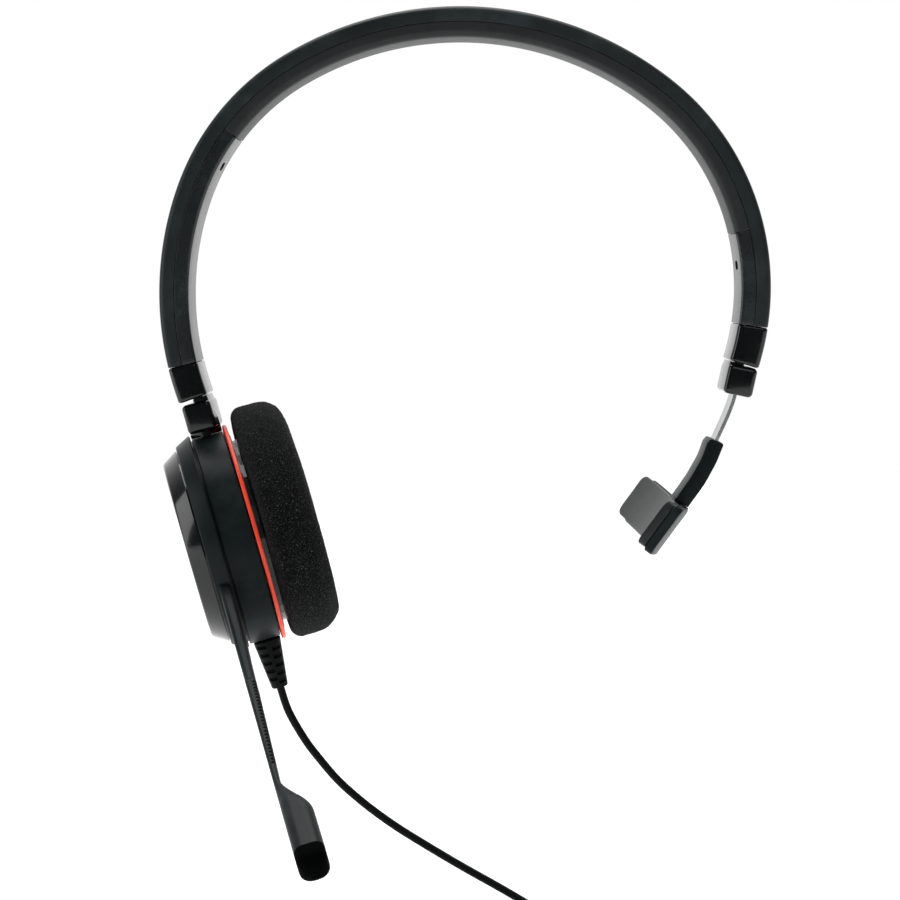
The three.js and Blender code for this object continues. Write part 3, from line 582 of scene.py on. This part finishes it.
def smooth_through(points, steps=6):
    """A Catmull-Rom curve through the points, as a dense list."""
    knots = [points[0] * 2 - points[1], *points, points[-1] * 2 - points[-2]]
    out = []
    for a, b, c, d in zip(knots, knots[1:], knots[2:], knots[3:]):
        for k in range(steps):
            t = k / steps
            out.append(0.5 * ((2 * b) + (c - a) * t + (2 * a - 5 * b + 4 * c - d) * t * t
                              + (3 * b - a - 3 * c + d) * t ** 3))
    out.append(points[-1])
    return out


def make_cord():
    winding = coil_points()
    down = smooth_through([Vector(p) for p in CORD_ROUTE] + winding[:1])
    away = smooth_through(winding[-1:] + [Vector(p) for p in TAIL_ROUTE])
    line = down + winding[1:-1] + away
    data = bpy.data.curves.new("cord_line", "CURVE")
    data.dimensions = "3D"
    data.bevel_depth = CORD_D / 2 * MM
    data.bevel_resolution = 5
    data.use_fill_caps = True
    spline = data.splines.new("POLY")
    spline.points.add(len(line) - 1)
    for target, p in zip(spline.points, line):
        target.co = (*(p * MM), 1)
    spline.use_smooth = True
    data.materials.append(MATERIALS["rubber_black"])
    obj = bpy.data.objects.new("cord_line", data)
    bpy.context.scene.collection.objects.link(obj)
    length = sum((b - a).length for a, b in zip(line, line[1:])) * MM
    return stand_for(obj, "cord", "cord_coil", "cord_tail"), length


cord, cord_length = make_cord()


def make_relief():
    """The cup's strain relief: a tapered sleeve with staggered slots."""
    turn = CUP @ Matrix.Translation((RELIEF["x"], 0, 0)) @ Matrix.Rotation(math.radians(-90), 4, "Y")
    top, bottom = RELIEF["top"], RELIEF["bottom"]
    sleeve = turned("strain_relief_fine", [
        (0, -23.7, 0), (1.9, -23.7, 0.2), (1.9, top + 0.05, 0.1), (RELIEF["top_r"], top, 0.5),
        (RELIEF["bottom_r"], bottom, 0.45), (1.05, bottom, 0.1), (0, bottom + 0.6, 0),
    ], turn, 64, "rubber_black", 5)
    for i in range(RELIEF_SLOTS["count"]):
        z = top - RELIEF_SLOTS["from"] - RELIEF_SLOTS["pitch"] * i
        radius = RELIEF["top_r"] + (RELIEF["bottom_r"] - RELIEF["top_r"]) * (top - z) / (top - bottom)
        for side, drop in ((-1, 0), (1, RELIEF_SLOTS["stagger"])):
            for y in (-1, 1):
                size = (RELIEF_SLOTS["tall"], 0.8 * radius, RELIEF_SLOTS["deep"])
                slot = block("slot", size, (z - drop, y * radius * 0.86, side * radius * 0.55), turn)
                boolean(sleeve, ease(slot, 0.15, 2), "DIFFERENCE")
    return stand_for(crisp(sleeve), "strain_relief")


def bundle_tie():
    """A closed loop of hook-and-loop tape round the coil's turns."""
    tall, bend, width = TIE["tall"], TIE["bend"], TIE["half"]
    middle = (TIE["inner"] + TIE["outer"]) / 2
    half = (TIE["outer"] - TIE["inner"]) / 2
    turn = (ROW @ Matrix.Translation((COIL["x"], COIL["y"], COIL["base"] - 0.1))
            @ Matrix.Rotation(math.radians(TIE["heading"]), 4, "Z")
            @ Matrix.Translation((middle, 0, tall / 2 - 0.1)))
    path = fillet([(x, z, bend) for x, z in (
        (-half, -tall / 2), (half, -tall / 2), (half, tall / 2), (-half, tall / 2))], 8)
    rings = []
    for i, p in enumerate(path):
        along = (path[(i + 1) % len(path)] - path[i - 1]).normalized()
        out = Vector((along.y, -along.x)) * TIE["thick"]
        rings.append([(p.x, -width, p.y), (p.x + out.x, -width, p.y + out.y),
                      (p.x + out.x, width, p.y + out.y), (p.x, width, p.y)])
    tie = mesh_object("cord_tie_fine", *loft(rings, True), turn, slot="cloth_black")
    return stand_for(tie, "cord_tie")


def plug_pieces():
    """The plug's grip, relief, shell and tongue. Gives back the relief."""
    at = ROW @ Matrix.Translation((0, PLUG["y"], PLUG["z"]))
    long = PLUG["grip_from"] - PLUG["grip_to"]
    centre = (PLUG["grip_from"] + PLUG["grip_to"]) / 2
    grip = block("plug_grip_fine", (long, 15, 8.4), (centre, 0, 0), at, "satin_black")
    ease(grip, 2.0, 8)
    for i in range(GROOVES["count"]):
        x = centre + GROOVES["from"] + GROOVES["pitch"] * i
        for side in (-1, 1):
            groove = block("groove", GROOVES["size"], (x, side * GROOVES["y"], 0), at)
            boolean(grip, ease(groove, 0.3, 2), "DIFFERENCE")
    stand_for(crisp(grip), "plug_grip")
    start = PLUG["grip_from"] + 0.2
    corners = [(0, start, 0), (3, start, 0.3)]
    for i in range(RELIEF_RINGS["count"]):
        x = start + RELIEF_RINGS["from"] + RELIEF_RINGS["pitch"] * i
        r = RELIEF_RINGS["r"] - RELIEF_RINGS["taper"] * i
        corners += [(r, x, 0.1), (r - 0.5, x, 0.1), (r - 0.5, x + 0.7, 0.1), (r - 0.1, x + 0.7, 0.1)]
    corners += [(1.9, start + 7.7, 0.3), (1.05, start + 7.7, 0.1), (0, start + 7.2, 0)]
    relief = stand_for(turned("plug_relief_fine", corners, at, 48, "rubber_black", 2), "plug_relief")
    shell_from = PLUG["grip_to"] - PLUG["gap"]
    shell_long = shell_from - PLUG["tip"]
    shell_at = (shell_from + PLUG["tip"]) / 2
    shell = block("plug_shell_fine", (shell_long, 12, 4.5), (shell_at, 0, 0), at, "steel")
    boolean(shell, block("mouth", (shell_long, 11.2, 3.7), (shell_at - 1.2, 0, 0), at), "DIFFERENCE")
    for side in (-1, 1):
        boolean(shell, block("window", (2.2, 2.2, 8), (shell_at - 1, side * 2.6, 4), at), "DIFFERENCE")
    stand_for(ease(shell, 0.12, 2), "plug_shell")
    tongue = block("plug_tongue_fine", (9.5, 10.4, 1.6), (-19, 0, -0.8), at, "plug_white")
    stand_for(ease(tongue, 0.25, 3), "plug_tongue")
    return relief


relief = make_relief()
tie = bundle_tie()
plug_relief = plug_pieces()


# ---- Headband ----

def band_arcs(side):
    half = HALVES[side]
    arcs = [(CROWN_R, 0.0, 0.0, BAND_THICK - CROWN_R)]
    for radius, start in ((half["shoulder_r"], half["crown_to"]), (half["lower_r"], LOWER_FROM)):
        last_r, _, x, z = arcs[-1]
        angle = math.radians(start)
        arcs.append((radius, start, x + (last_r - radius) * side * math.sin(angle),
                     z + (last_r - radius) * math.cos(angle)))
    return arcs


ARCS = {side: band_arcs(side) for side in HALVES}


def on_band(heading, depth, y=0.0):
    side = -1 if heading < 0 else 1
    radius, _, x, z = [a for a in ARCS[side] if abs(heading) >= a[1]][-1]
    angle = math.radians(abs(heading))
    r = radius - depth
    return Vector((x + r * side * math.sin(angle), y, z + r * math.cos(angle)))


def degrees_for(heading, length):
    """How many degrees of heading a length along the band is."""
    one_degree = (on_band(heading + 0.5, 3) - on_band(heading - 0.5, 3)).length
    return length / one_degree


ROUND_STEPS = 6


def quarter_round(radius):
    """Pairs round a quarter circle, from (0, radius) to (radius, 0)."""
    angles = [math.pi / 2 * k / ROUND_STEPS for k in range(ROUND_STEPS + 1)]
    return [(radius * (1 - math.cos(a)), radius * (1 - math.sin(a))) for a in angles]


def swept(name, section, start, end, rounding=0.0, slot=None, step=0.75):
    """A piece that follows the band between two headings. section(inset) gives its (depth, y)
    corners, and the inset grows in a quarter circle towards both ends, to round them."""
    stations = quarter_round(rounding) if rounding else [(0.0, 0.0)]
    low = [(start + degrees_for(start, into), inset) for into, inset in stations]
    high = [(end - degrees_for(end, into), inset) for into, inset in reversed(stations)]
    count = max(1, int(abs(high[0][0] - low[-1][0]) / step))
    middle = [(low[-1][0] + (high[0][0] - low[-1][0]) * k / count, 0.0) for k in range(1, count)]
    rings = [[on_band(heading, d, y) for d, y in section(inset)] for heading, inset in low + middle + high]
    return mesh_object(name, *loft(rings), slot=slot)


def plain_section(top, bottom, half, r_top=0.0, r_bottom=0.0):
    """A rounded rectangle between two depths."""
    def section(inset):
        t, b, h = top + inset, bottom - inset, half - inset
        return fillet([(t, -h, r_top), (t, h, r_top), (b, h, r_bottom), (b, -h, r_bottom)])
    return section


def channel_section(outer, inner, r_outer, r_inner, notch):
    """A rectangle from its outer skin to its joint face, with the sliders' channel let into that
    face. outer and inner are the two depths, and notch is the depth of the channel's floor."""
    half = CHANNEL["half"]

    def section(inset):
        skin = outer + inset * (1 if inner > outer else -1)
        h = BAND_HALF - inset
        return fillet([
            (skin, -h, r_outer), (skin, h, r_outer), (inner, h, r_inner), (inner, half, 0), (notch, half, 0),
            (notch, -half, 0), (inner, -half, 0), (inner, -h, r_inner)])
    return section


def make_headband():
    channel = channel_section(0, SHELL["seam"], SHELL["edge"], 0.12, CHANNEL["top"])
    shell = swept("headband_shell_fine", channel, SHELL["from"], SHELL["to"], 0.25, "shell_black")
    stand_for(shell, "headband_shell")
    for name, place in COVERS.items():
        section = channel_section(COVER["bottom"], INNER_TOP, COVER["edge"], 0.12, CHANNEL["bottom"])
        cover = swept(name + "_fine", section, place["from"], place["to"], 0.2, "inner_black")
        boolean(cover, latch_slot(place["slot"]), "DIFFERENCE")
        stand_for(crisp(cover), name)
    solid = plain_section(INNER_TOP, PAD["bottom"], BAND_HALF, 0.12, PAD["edge"])
    pad = swept("headband_pad_fine", solid, PAD["from"], PAD["to"], 0.3, "crown_pad", 0.6)
    channel = swept("channel", plain_section(CHANNEL["top"], CHANNEL["bottom"], CHANNEL["half"]),
                    PAD["channel_from"], PAD["to"] + 2)
    boolean(pad, channel, "DIFFERENCE")
    stand_for(crisp(pad), "headband_pad")


def latch_slot(heading):
    """A long round-ended opening across the cover, as a cutter."""
    outline = fillet([(-2.25, -1.2, 1.15), (2.25, -1.2, 1.15), (2.25, 1.2, 1.15), (-2.25, 1.2, 1.15)], 8)
    rings = [[on_band(heading + degrees_for(heading, along), depth, across) for across, along in outline]
             for depth in (SHELL["seam"], BAND_THICK + 1)]
    return mesh_object("latch_slot", *loft(rings))


make_headband()

# ---- End caps, blocks and slider strips ----


def ribbon(name, line, thick, half, slot=None, bevel=0.0):
    """A bent strip along points in X and Z. A bevel narrows it over its last stretch to each edge."""
    if bevel:
        rise = (-half, -half + bevel, half - bevel, half)
        corners = [(-1, y) for y in rise] + [(1, y) for y in reversed(rise)]
    else:
        corners = [(-1, -half), (1, -half), (1, half), (-1, half)]
    rings = []
    for i, p in enumerate(line):
        along = (line[min(i + 1, len(line) - 1)] - line[max(i - 1, 0)]).normalized()
        across = Vector((-along.z, 0, along.x)) * (thick / 2)
        rings.append([p + across * s * (STRIP["edge"] if bevel and abs(y) == half else 1) + Vector((0, y, 0))
                      for s, y in corners])
    return mesh_object(name, *loft(rings), sharp=20, slot=slot)


def strip_line(start, end):
    """The strip's middle line along the band, from its hidden end down."""
    hidden, low = (end, start) if start < 0 else (start, end)
    count = 40
    return [on_band(hidden + (low - hidden) * k / count, STRIP["depth"]) for k in range(count + 1)]


CUP_LINE = strip_line(*CUP_STRIP)
BAR_CURVE = strip_line(*BAR_STRIP)
BAR_BELOW = [BAR_CURVE[-1]] + [Vector((x, 0, z)) for x, z in BAR_STRIP_BELOW]
BAR_LINE = BAR_CURVE + smooth_through(BAR_BELOW, 8)[1:]


def strip_cutter(line):
    long = [p.copy() for p in line]
    long[-1] += (long[-1] - long[-2]).normalized() * 0.4
    return ribbon("strip_cutter", long, STRIP["thick"] + 2 * STRIP["gap"], STRIP["half"] + STRIP["gap"])


def end_cap(name, span):
    low, high = span
    cap = swept(name + "_fine", plain_section(0, BAND_THICK, BAND_HALF, CAP_EDGE, CAP_EDGE),
                low, high, 0.55, "gloss_black", 0.4)
    mouth = swept("mouth", plain_section(MOUTH["top"], MOUTH["bottom"], MOUTH["half"]), low - 2, high + 2)
    boolean(cap, mouth, "DIFFERENCE")
    return stand_for(crisp(cap), name)


def slider_block(name, place, line):
    """A glossy block with a neck and a tongue that run up into the end cap."""
    turn = leaning(place["x"], place["z"], -place["tilt"])
    tall = BLOCK["tall"] + place["up"] + place["down"]
    middle = (0, 0, (place["up"] - place["down"]) / 2)
    body = block(name + "_fine", (BLOCK["wide"], BLOCK["deep"], tall), middle, turn, "gloss_black")
    ease(body, BLOCK["edge"], 8)
    for part, span in ((TONGUE, place["tongue"]), (NECK, place["neck"])):
        section = plain_section(part["top"], part["bottom"], part["half"], 0.4, 0.4)
        boolean(body, swept("part", section, *span), "UNION")
    if name == "cup_block":
        boolean(body, rod("collar", STEM["collar_r"], *STEM["collar"], LEAN), "UNION")
        bore = rod("bore", STEM["r"] + STEM["gap"], STEM["from"], STEM["to"] + 0.3, LEAN)
        boolean(body, bore, "DIFFERENCE")
    boolean(body, strip_cutter(line), "DIFFERENCE")
    return stand_for(crisp(body, 30), name)


for cap_name, cap_span in CAPS.items():
    end_cap(cap_name, cap_span)
slider_block("cup_block", CUP_BLOCK, CUP_LINE)
slider_block("bar_block", BAR_BLOCK, BAR_LINE)
for strip_name, strip_path in (("cup_slider_strip", CUP_LINE), ("bar_slider_strip", BAR_LINE)):
    strip_mesh = ribbon(strip_name + "_fine", strip_path, STRIP["thick"], STRIP["half"],
                        "dark_steel", STRIP["bevel"])
    stand_for(strip_mesh, strip_name)


# ---- Head rest ----

def make_arm():
    outline = [
        (60.9, -102.6, 0.5), (64.1, -104.1, 0.6), (62.0, -108.6, 20), (58.7, -113.9, 20),
        (54.2, -119.4, 0.25), (51.3, -116.95, 0.25), (55.2, -112.1, 16), (58.4, -107.2, 16),
        (59.9, -103.6, 1.0),
    ]
    arm = extruded("bar_arm_fine", outline, 5.0, slot="satin_black")
    ease(arm, 0.55, 3, 50)
    boolean(arm, strip_cutter(BAR_LINE), "DIFFERENCE")
    boolean(arm, block("tab_slot", (1.9, 5.6, 5.9), (2.2, 0, 1.95), REST), "DIFFERENCE")
    return stand_for(crisp(arm), "bar_arm")


FLAT_STEPS = 30


def bowed(name, near, far, top, bottom, rounding, slot):
    """A curved slab with rounded edges, built of outlines that shrink to its middle line."""
    bow_r = (PLATE["half"] ** 2 + PLATE["bow"] ** 2) / (2 * PLATE["bow"])
    tall, wide = (bottom - top) / 2, PLATE["half"]
    middle = -(top + bottom) / 2

    def ring(inset, depth):
        w, h = wide - inset, tall - inset
        corner = min(max(PLATE["corner"] - inset, 0.05), h * 0.98)
        points = []
        for cy, cz, start in ((w, h, 0), (-w, h, 90), (-w, -h, 180), (w, -h, 270)):
            centre = (cy - math.copysign(corner, cy), cz - math.copysign(corner, cz))
            for k in range(ROUND_STEPS + 1):
                a = math.radians(start + 90 / ROUND_STEPS * k)
                points.append((centre[0] + corner * math.cos(a), centre[1] + corner * math.sin(a)))
        out = []
        for (ay, az), (by, bz) in zip(points, points[1:] + points[:1]):
            steps = FLAT_STEPS if abs(ay - by) > 2 * corner + 1 else 1
            out += [(ay + (by - ay) * k / steps, az + (bz - az) * k / steps) for k in range(steps)]
        return [(math.sqrt((bow_r + depth) ** 2 - y * y) - bow_r, y, z + middle) for y, z in out]

    quarter = quarter_round(rounding)
    inner = [rounding + (tall - rounding) * k / 6 for k in range(1, 7)]
    inner[-1] -= 0.02
    rings = [ring(i, near) for i in reversed(inner)]
    rings += [ring(inset, near + into) for inset, into in reversed(quarter)]
    rings += [ring(inset, far - into) for inset, into in quarter]
    rings += [ring(i, far) for i in inner]
    verts, faces = loft(rings)
    size = len(rings[0])
    faces = faces[:-2]
    for first in (0, len(verts) - size):
        faces += [(first + i, first + i + 1, first + size - 2 - i, first + size - 1 - i)
                  for i in range(size // 2 - 1)]
    return mesh_object(name, verts, faces, REST, slot=slot)


def make_plate():
    plate = bowed("bar_plate_fine", 2.15, 4.3, -0.35, 13.0, 0.4, "satin_black")
    foot = block("foot", (2.3, 9, 2.5), (3.45, 0, -0.75), REST)
    boolean(plate, ease(foot, 0.3, 3), "UNION")
    boolean(plate, block("tab", (1.3, 5, 4.2), (2.2, 0, 2.3), REST), "UNION")
    boolean(plate, block("ledge", (4.0, 9.4, 0.44), (2.3, 0, 0.28), REST), "UNION")
    stand_for(crisp(plate), "bar_plate")
    pad = stand_for(bowed("bar_pad_fine", 0, 2.1, 0, PLATE["tall"], 0.4, "pad_grey"), "bar_pad")


make_arm()
make_plate()


# ---- Ear cup ----

def make_housing():
    housing = turned("cup_housing_fine", [
        (25, -3.9, 0.1), (CUP_R, -3.9, 0.35), (CUP_R, 3.9, 0.35), (26.2, 3.9, 0), (26.2, 4.24, 0),
        (25.2, 4.24, 0), (25.2, 3.9, 0), (22, 3.9, 0.25), (22, 3.2, 0.2), (7.2, 3.2, 0.2),
        (7.2, 8.3, 0.3), (3.3, 8.3, 0.2), (3.3, 1.9, 0.1), (25, 1.9, 0.4)], slot="satin_black", segments=192)
    boolean(housing, ease(block("seat", (12, 20, 4), (0, 0, FLAT_SEAT + 2), CUP), 0.3, 2), "DIFFERENCE")
    boolean(housing, rod("stem_hole", STEM["r"] + STEM["gap"], 20, 30, LEAN), "DIFFERENCE")
    boolean(housing, rod("cord_hole", 2.2, -30, -20, CUP, at=(RELIEF["x"], 0)), "DIFFERENCE")
    return stand_for(crisp(housing), "cup_housing")


def make_cap():
    cap = turned("outer_cap_fine", [
        (0, 12.6, 0), (22.4, 12.6, 1.1), (24.9, 8.65, 0.4), (24.5, 8.65, 0), (24.5, 8.46, 0),
        (23.8, 8.46, 0), (23.2, 8.65, 0), (21.3, 11.3, 0.3), (2.9, 11.3, 0.3),
        (2.9, 2.9, 0.1), (1.3, 2.9, 0.1), (1.3, 9.5, 0), (0, 9.5, 0)],
        slot="gloss_black", segments=192, steps=10)
    return stand_for(cap, "outer_cap")


def make_trim():
    ring = turned("trim_ring_fine", [
        (25.6, -4.2, 0.1), (27.9, -4.2, 0.3), (27.9, -5.2, 0.35), (25.6, -5.2, 0.1)],
        slot="trim_orange", segments=192)
    return stand_for(ring, "trim_ring")


# The foam ring's radii, where its two faces start, its crown, fineness and lift off its seat
CUSHION = {"inner": 11, "outer": 30, "front": -18, "back": -8, "crown": 0.35, "step": 0.4,
           "segments": 400, "lift_from": 24.5, "lift_over": 3}
# The noise that roughens its skin
CUSHION_SKIN = {"fine": 1.9, "middle": 0.9, "slow": 0.11, "offset": (7, 3, 1),
                "fine_share": 0.5, "middle_share": 0.35, "rough": 0.22, "wave": 0.16}


def make_cushion():
    """The foam cushion: a crowned ring whose skin is roughened by its open cells."""
    skin = CUSHION_SKIN
    wide = CUSHION["outer"] - CUSHION["inner"]
    offset = Vector(skin["offset"])
    outline = fillet([
        (11, -6.8, 0.6), (19.8, -6.8, 0.3), (19.8, -7.9, 0.3), (24.2, -7.9, 0.3), (24.2, -6.8, 0.3),
        (30, -6.8, 3.8), (30, -19.6, 5.6), (11, -19.6, 3.0)], 10)
    fine = []
    for a, b in zip(outline, outline[1:] + outline[:1]):
        steps = max(1, round((b - a).length / CUSHION["step"]))
        fine += [a + (b - a) * k / steps for k in range(steps)]
    rings = []
    for k in range(CUSHION["segments"]):
        a = 2 * math.pi * k / CUSHION["segments"]
        ring = []
        for r, x in fine:
            crown = 0
            lean = 0.5 if x > CUSHION["back"] else 0
            if x < CUSHION["front"]:
                crown = CUSHION["crown"] * math.sin(math.pi * min(1, max(0, (r - CUSHION["inner"]) / wide)))
                lean = -0.5
            high = FOAM_LIFT * max(0.0, min(1.0, (r - CUSHION["lift_from"]) / CUSHION["lift_over"]))
            p = Vector((x - crown, r * math.cos(a), r * math.sin(a) + high))
            out = Vector((lean, math.cos(a), math.sin(a)))
            rough = (skin["fine_share"] * noise.noise(p * skin["fine"])
                     + skin["middle_share"] * noise.noise(p * skin["middle"] + offset))
            slow = noise.noise(p * skin["slow"])
            ring.append(p + out.normalized() * (skin["rough"] * rough + skin["wave"] * slow))
        rings.append(ring)
    cushion = mesh_object("ear_cushion_fine", *loft(rings, True), CUP, sharp=180, slot="foam_black")
    stand_for(cushion, "ear_cushion")


make_housing()
make_cap()
make_trim()
make_cushion()


# ---- Boom ----

def smooth_table(places, y):
    """A value between (y, value) places, eased between each pair."""
    for (y0, v0), (y1, v1) in zip(places, places[1:]):
        if y <= y1:
            t = (y - y0) / (y1 - y0)
            t = max(0.0, min(1.0, t))
            return v0 + (v1 - v0) * t * t * (3 - 2 * t)
    return places[-1][1]


def boom_ring_at(y, inner, outer, half, corner, across=14):
    """A rounded rectangle across the boom: x from inner to outer, z from -half to half."""
    corner = min(corner, (outer - inner) * 0.49, half * 0.98)
    outline = []
    arcs = ((outer - corner, half - corner, 0), (inner + corner, half - corner, 90),
            (inner + corner, corner - half, 180), (outer - corner, corner - half, 270))
    for cx, cz, start in arcs:
        outline += [(cx + corner * math.cos(math.radians(start + 18 * k)),
                     cz + corner * math.sin(math.radians(start + 18 * k))) for k in range(6)]
    out = []
    for i, (a, b) in enumerate(zip(outline, outline[1:] + outline[:1])):
        steps = across if i % 6 == 5 else 1
        out += [(a[0] + (b[0] - a[0]) * k / steps, y, a[1] + (b[1] - a[1]) * k / steps)
                for k in range(steps)]
    return out


def boom_loft(name, low, high, step, inner, half, corner, slot, shape=None, outer=None):
    """A stretch of the boom between two places, with its inner face and half width given by y."""
    count = max(2, round((high - low) / step))
    rings = []
    for k in range(count + 1):
        y = low + (high - low) * k / count
        o = outer(y) if outer else BOOM_OUTER
        ring = boom_ring_at(y, inner(y), o, half(y), corner)
        rings.append([shape(p) for p in ring] if shape else ring)
    return mesh_object(name, *loft(rings), BOOM, slot=slot)


def make_boom_ring():
    ring = turned("boom_ring_fine", [
        (7.5, 4.3, 0.1), (27.8, 4.3, 0.35), (25.7, 8.4, 0.7), (23.7, 8.4, 0.3), (25.2, 5.5, 0.2),
        (7.5, 5.5, 0.1)], BOOM, 192, "satin_black")
    root = boom_loft(
        "root", 18, 58.5, 0.8,
        lambda y: smooth_table([(18, 4.5), (28, 4.5), (58.5, 5.1)], y),
        lambda y: smooth_table([(18, 7.4), (27, 6.6), (58.5, 3.6)], y), 1.0, "satin_black")
    boolean(ring, root, "UNION")
    return stand_for(crisp(ring), "boom_ring")


# The neck's inner face and half width at its two ends
NECK_INNER = (5.15, 6.1)
NECK_HALF = (3.5, 2.6)
# The microphone's inner face, half width, edge rounding and bore
MIC = {"inner": 0.9, "half": 4.0, "corner": 2.2, "bore_x": 4.25, "bore_r": 2.4, "bore_from": 103.5}
GRILLE_FROM = MIC_TO + 0.08


def neck_inner(y):
    low, high = NECK_SPAN
    first, last = NECK_INNER
    return first + (last - first) * (y - low) / (high - low)


def neck_half(y):
    return smooth_table(list(zip(NECK_SPAN, NECK_HALF)), y)


def mic_inner(y):
    return smooth_table([(MIC_FROM, NECK_INNER[1]), (104.0, MIC["inner"]), (MIC_TO, MIC["inner"])], y)


def mic_half(y):
    return smooth_table([(MIC_FROM, NECK_HALF[1]), (101.0, MIC["half"]), (MIC_TO, MIC["half"])], y)


def tip_shrink(y):
    """How far the grille's sides have drawn in, on the way to its tip."""
    t = (y - GRILLE_FROM) / (MIC_TIP - GRILLE_FROM)
    return MIC["half"] * (1 - math.sqrt(max(0.0, 1 - t ** 4)))


def knurl(p):
    """Cuts slanted notches into the neck's inner face and its edges, so raised ridges stay between."""
    x, y, z = p
    into = x - neck_inner(y)
    along = (y + RIDGES["slant"] * z - RIDGES["from"]) / RIDGES["pitch"]
    if into > RIDGES["wide"] or not 0 <= along <= RIDGES["count"]:
        return p
    notch = min(1.0, max(0.0, 0.5 - 1.4 * math.sin(2 * math.pi * along)))
    return x + RIDGES["deep"] * notch * (1 - into / RIDGES["wide"]), y, z


def make_boom():
    neck = boom_loft("boom_neck_fine", *NECK_SPAN, 0.11, neck_inner, neck_half, 0.7, "boom_grey", knurl)
    stand_for(neck, "boom_neck")
    mic = boom_loft("mic_housing_fine", MIC_FROM, MIC_TO, 0.25, mic_inner, mic_half,
                    MIC["corner"], "boom_grey")
    along_boom = BOOM @ Matrix.Rotation(math.radians(-90), 4, "X")
    bore = rod("bore", MIC["bore_r"], MIC["bore_from"], MIC_TO + 1, along_boom, at=(MIC["bore_x"], 0))
    boolean(mic, bore, "DIFFERENCE")
    stand_for(crisp(mic), "mic_housing")
    grille = boom_loft(
        "mic_grille_fine", GRILLE_FROM, MIC_TIP - 0.02, 0.2,
        lambda y: MIC["inner"] + 0.8 * tip_shrink(y),
        lambda y: max(0.3, MIC["half"] - tip_shrink(y)), MIC["corner"], "mesh_black",
        outer=lambda y: BOOM_OUTER - 0.7 * tip_shrink(y))
    slit = block("slit", (2.2, 1.6, 0.4), (MIC["bore_x"], MIC_TIP, -1.2), BOOM)
    boolean(grille, ease(slit, 0.15, 2), "DIFFERENCE")
    stand_for(crisp(grille), "mic_grille")


make_boom_ring()
make_boom()

# ---- Floor and light ----

FLOOR_SIZE = 1.1
FRONT_GLOW = 0.085
BACK_GLOW = 1.0
SUN_POWER = 3.3
SUN_SPREAD = 50
SUN_TURN = -14
FLOOR_DROP = 0.0002
# Where each is, what it faces, its size and its power
SOFTBOXES = {
    "key": ((-0.8, -0.25, 0.05), (-0.05, 0, -0.1), (0.35, 0.8), 3.0),
    "front": ((0.35, -0.9, 0.45), (0, 0, -0.1), (0.6, 0.6), 1.2),
}


def make_floor():
    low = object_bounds()[0].z - FLOOR_DROP
    s = FLOOR_SIZE
    floor = mesh_object("floor", [(-s, -s, low), (s, -s, low), (s, s, low), (-s, s, low)], [(0, 1, 2, 3)],
                        Matrix.Identity(4))
    material, tree, shader, place = new_material("floor_pale")
    cloud = noise_of(tree, place, 300, 2)
    pale = ramp(tree, cloud, (0.3, (0.88, 0.88, 0.88)), (0.7, (0.92, 0.92, 0.92)))
    tree.links.new(pale, shader.inputs["Base Color"])
    shader.inputs["Roughness"].default_value = 0.9
    shader.inputs["Specular IOR Level"].default_value = 0.1
    floor.data.materials.append(material)


def softbox(name, at, to, size, power):
    data = bpy.data.lights.new(name, "AREA")
    data.shape = "RECTANGLE"
    data.size, data.size_y = size
    data.energy = power
    light = bpy.data.objects.new(name, data)
    light.matrix_world = (Matrix.Translation(at) @ (Vector(to) - Vector(at)).to_track_quat("-Z", "Y")
                          .to_matrix().to_4x4())
    bpy.context.scene.collection.objects.link(light)


def make_light():
    world = bpy.data.worlds.new("studio")
    bpy.context.scene.world = world
    world.use_nodes = True
    tree = world.node_tree
    seen = tree.nodes["Background"]
    seen.inputs["Color"].default_value = (1, 1, 1, 1)
    seen.inputs["Strength"].default_value = 1.0
    toward = node(tree, "ShaderNodeSeparateXYZ", {0: node(tree, "ShaderNodeTexCoord").outputs["Generated"]})
    glow = level(tree, toward.outputs["Y"], FRONT_GLOW, BACK_GLOW, -0.05, 0.65)
    dim = node(tree, "ShaderNodeBackground", {"Color": (1, 1, 1, 1), "Strength": glow})
    path = node(tree, "ShaderNodeLightPath")
    mix = node(tree, "ShaderNodeMixShader", {
        0: path.outputs["Is Camera Ray"], 1: dim.outputs[0], 2: seen.outputs[0]})
    tree.links.new(mix.outputs[0], tree.nodes["World Output"].inputs["Surface"])
    sun = bpy.data.lights.new("sun", "SUN")
    sun.energy = SUN_POWER
    sun.angle = math.radians(SUN_SPREAD)
    lamp = bpy.data.objects.new("sun", sun)
    lamp.matrix_world = Matrix.Rotation(math.radians(SUN_TURN), 4, "X")
    bpy.context.scene.collection.objects.link(lamp)
    for name, box in SOFTBOXES.items():
        softbox(name, *box)
    bpy.context.scene.view_settings.view_transform = "Standard"


make_floor()
make_light()
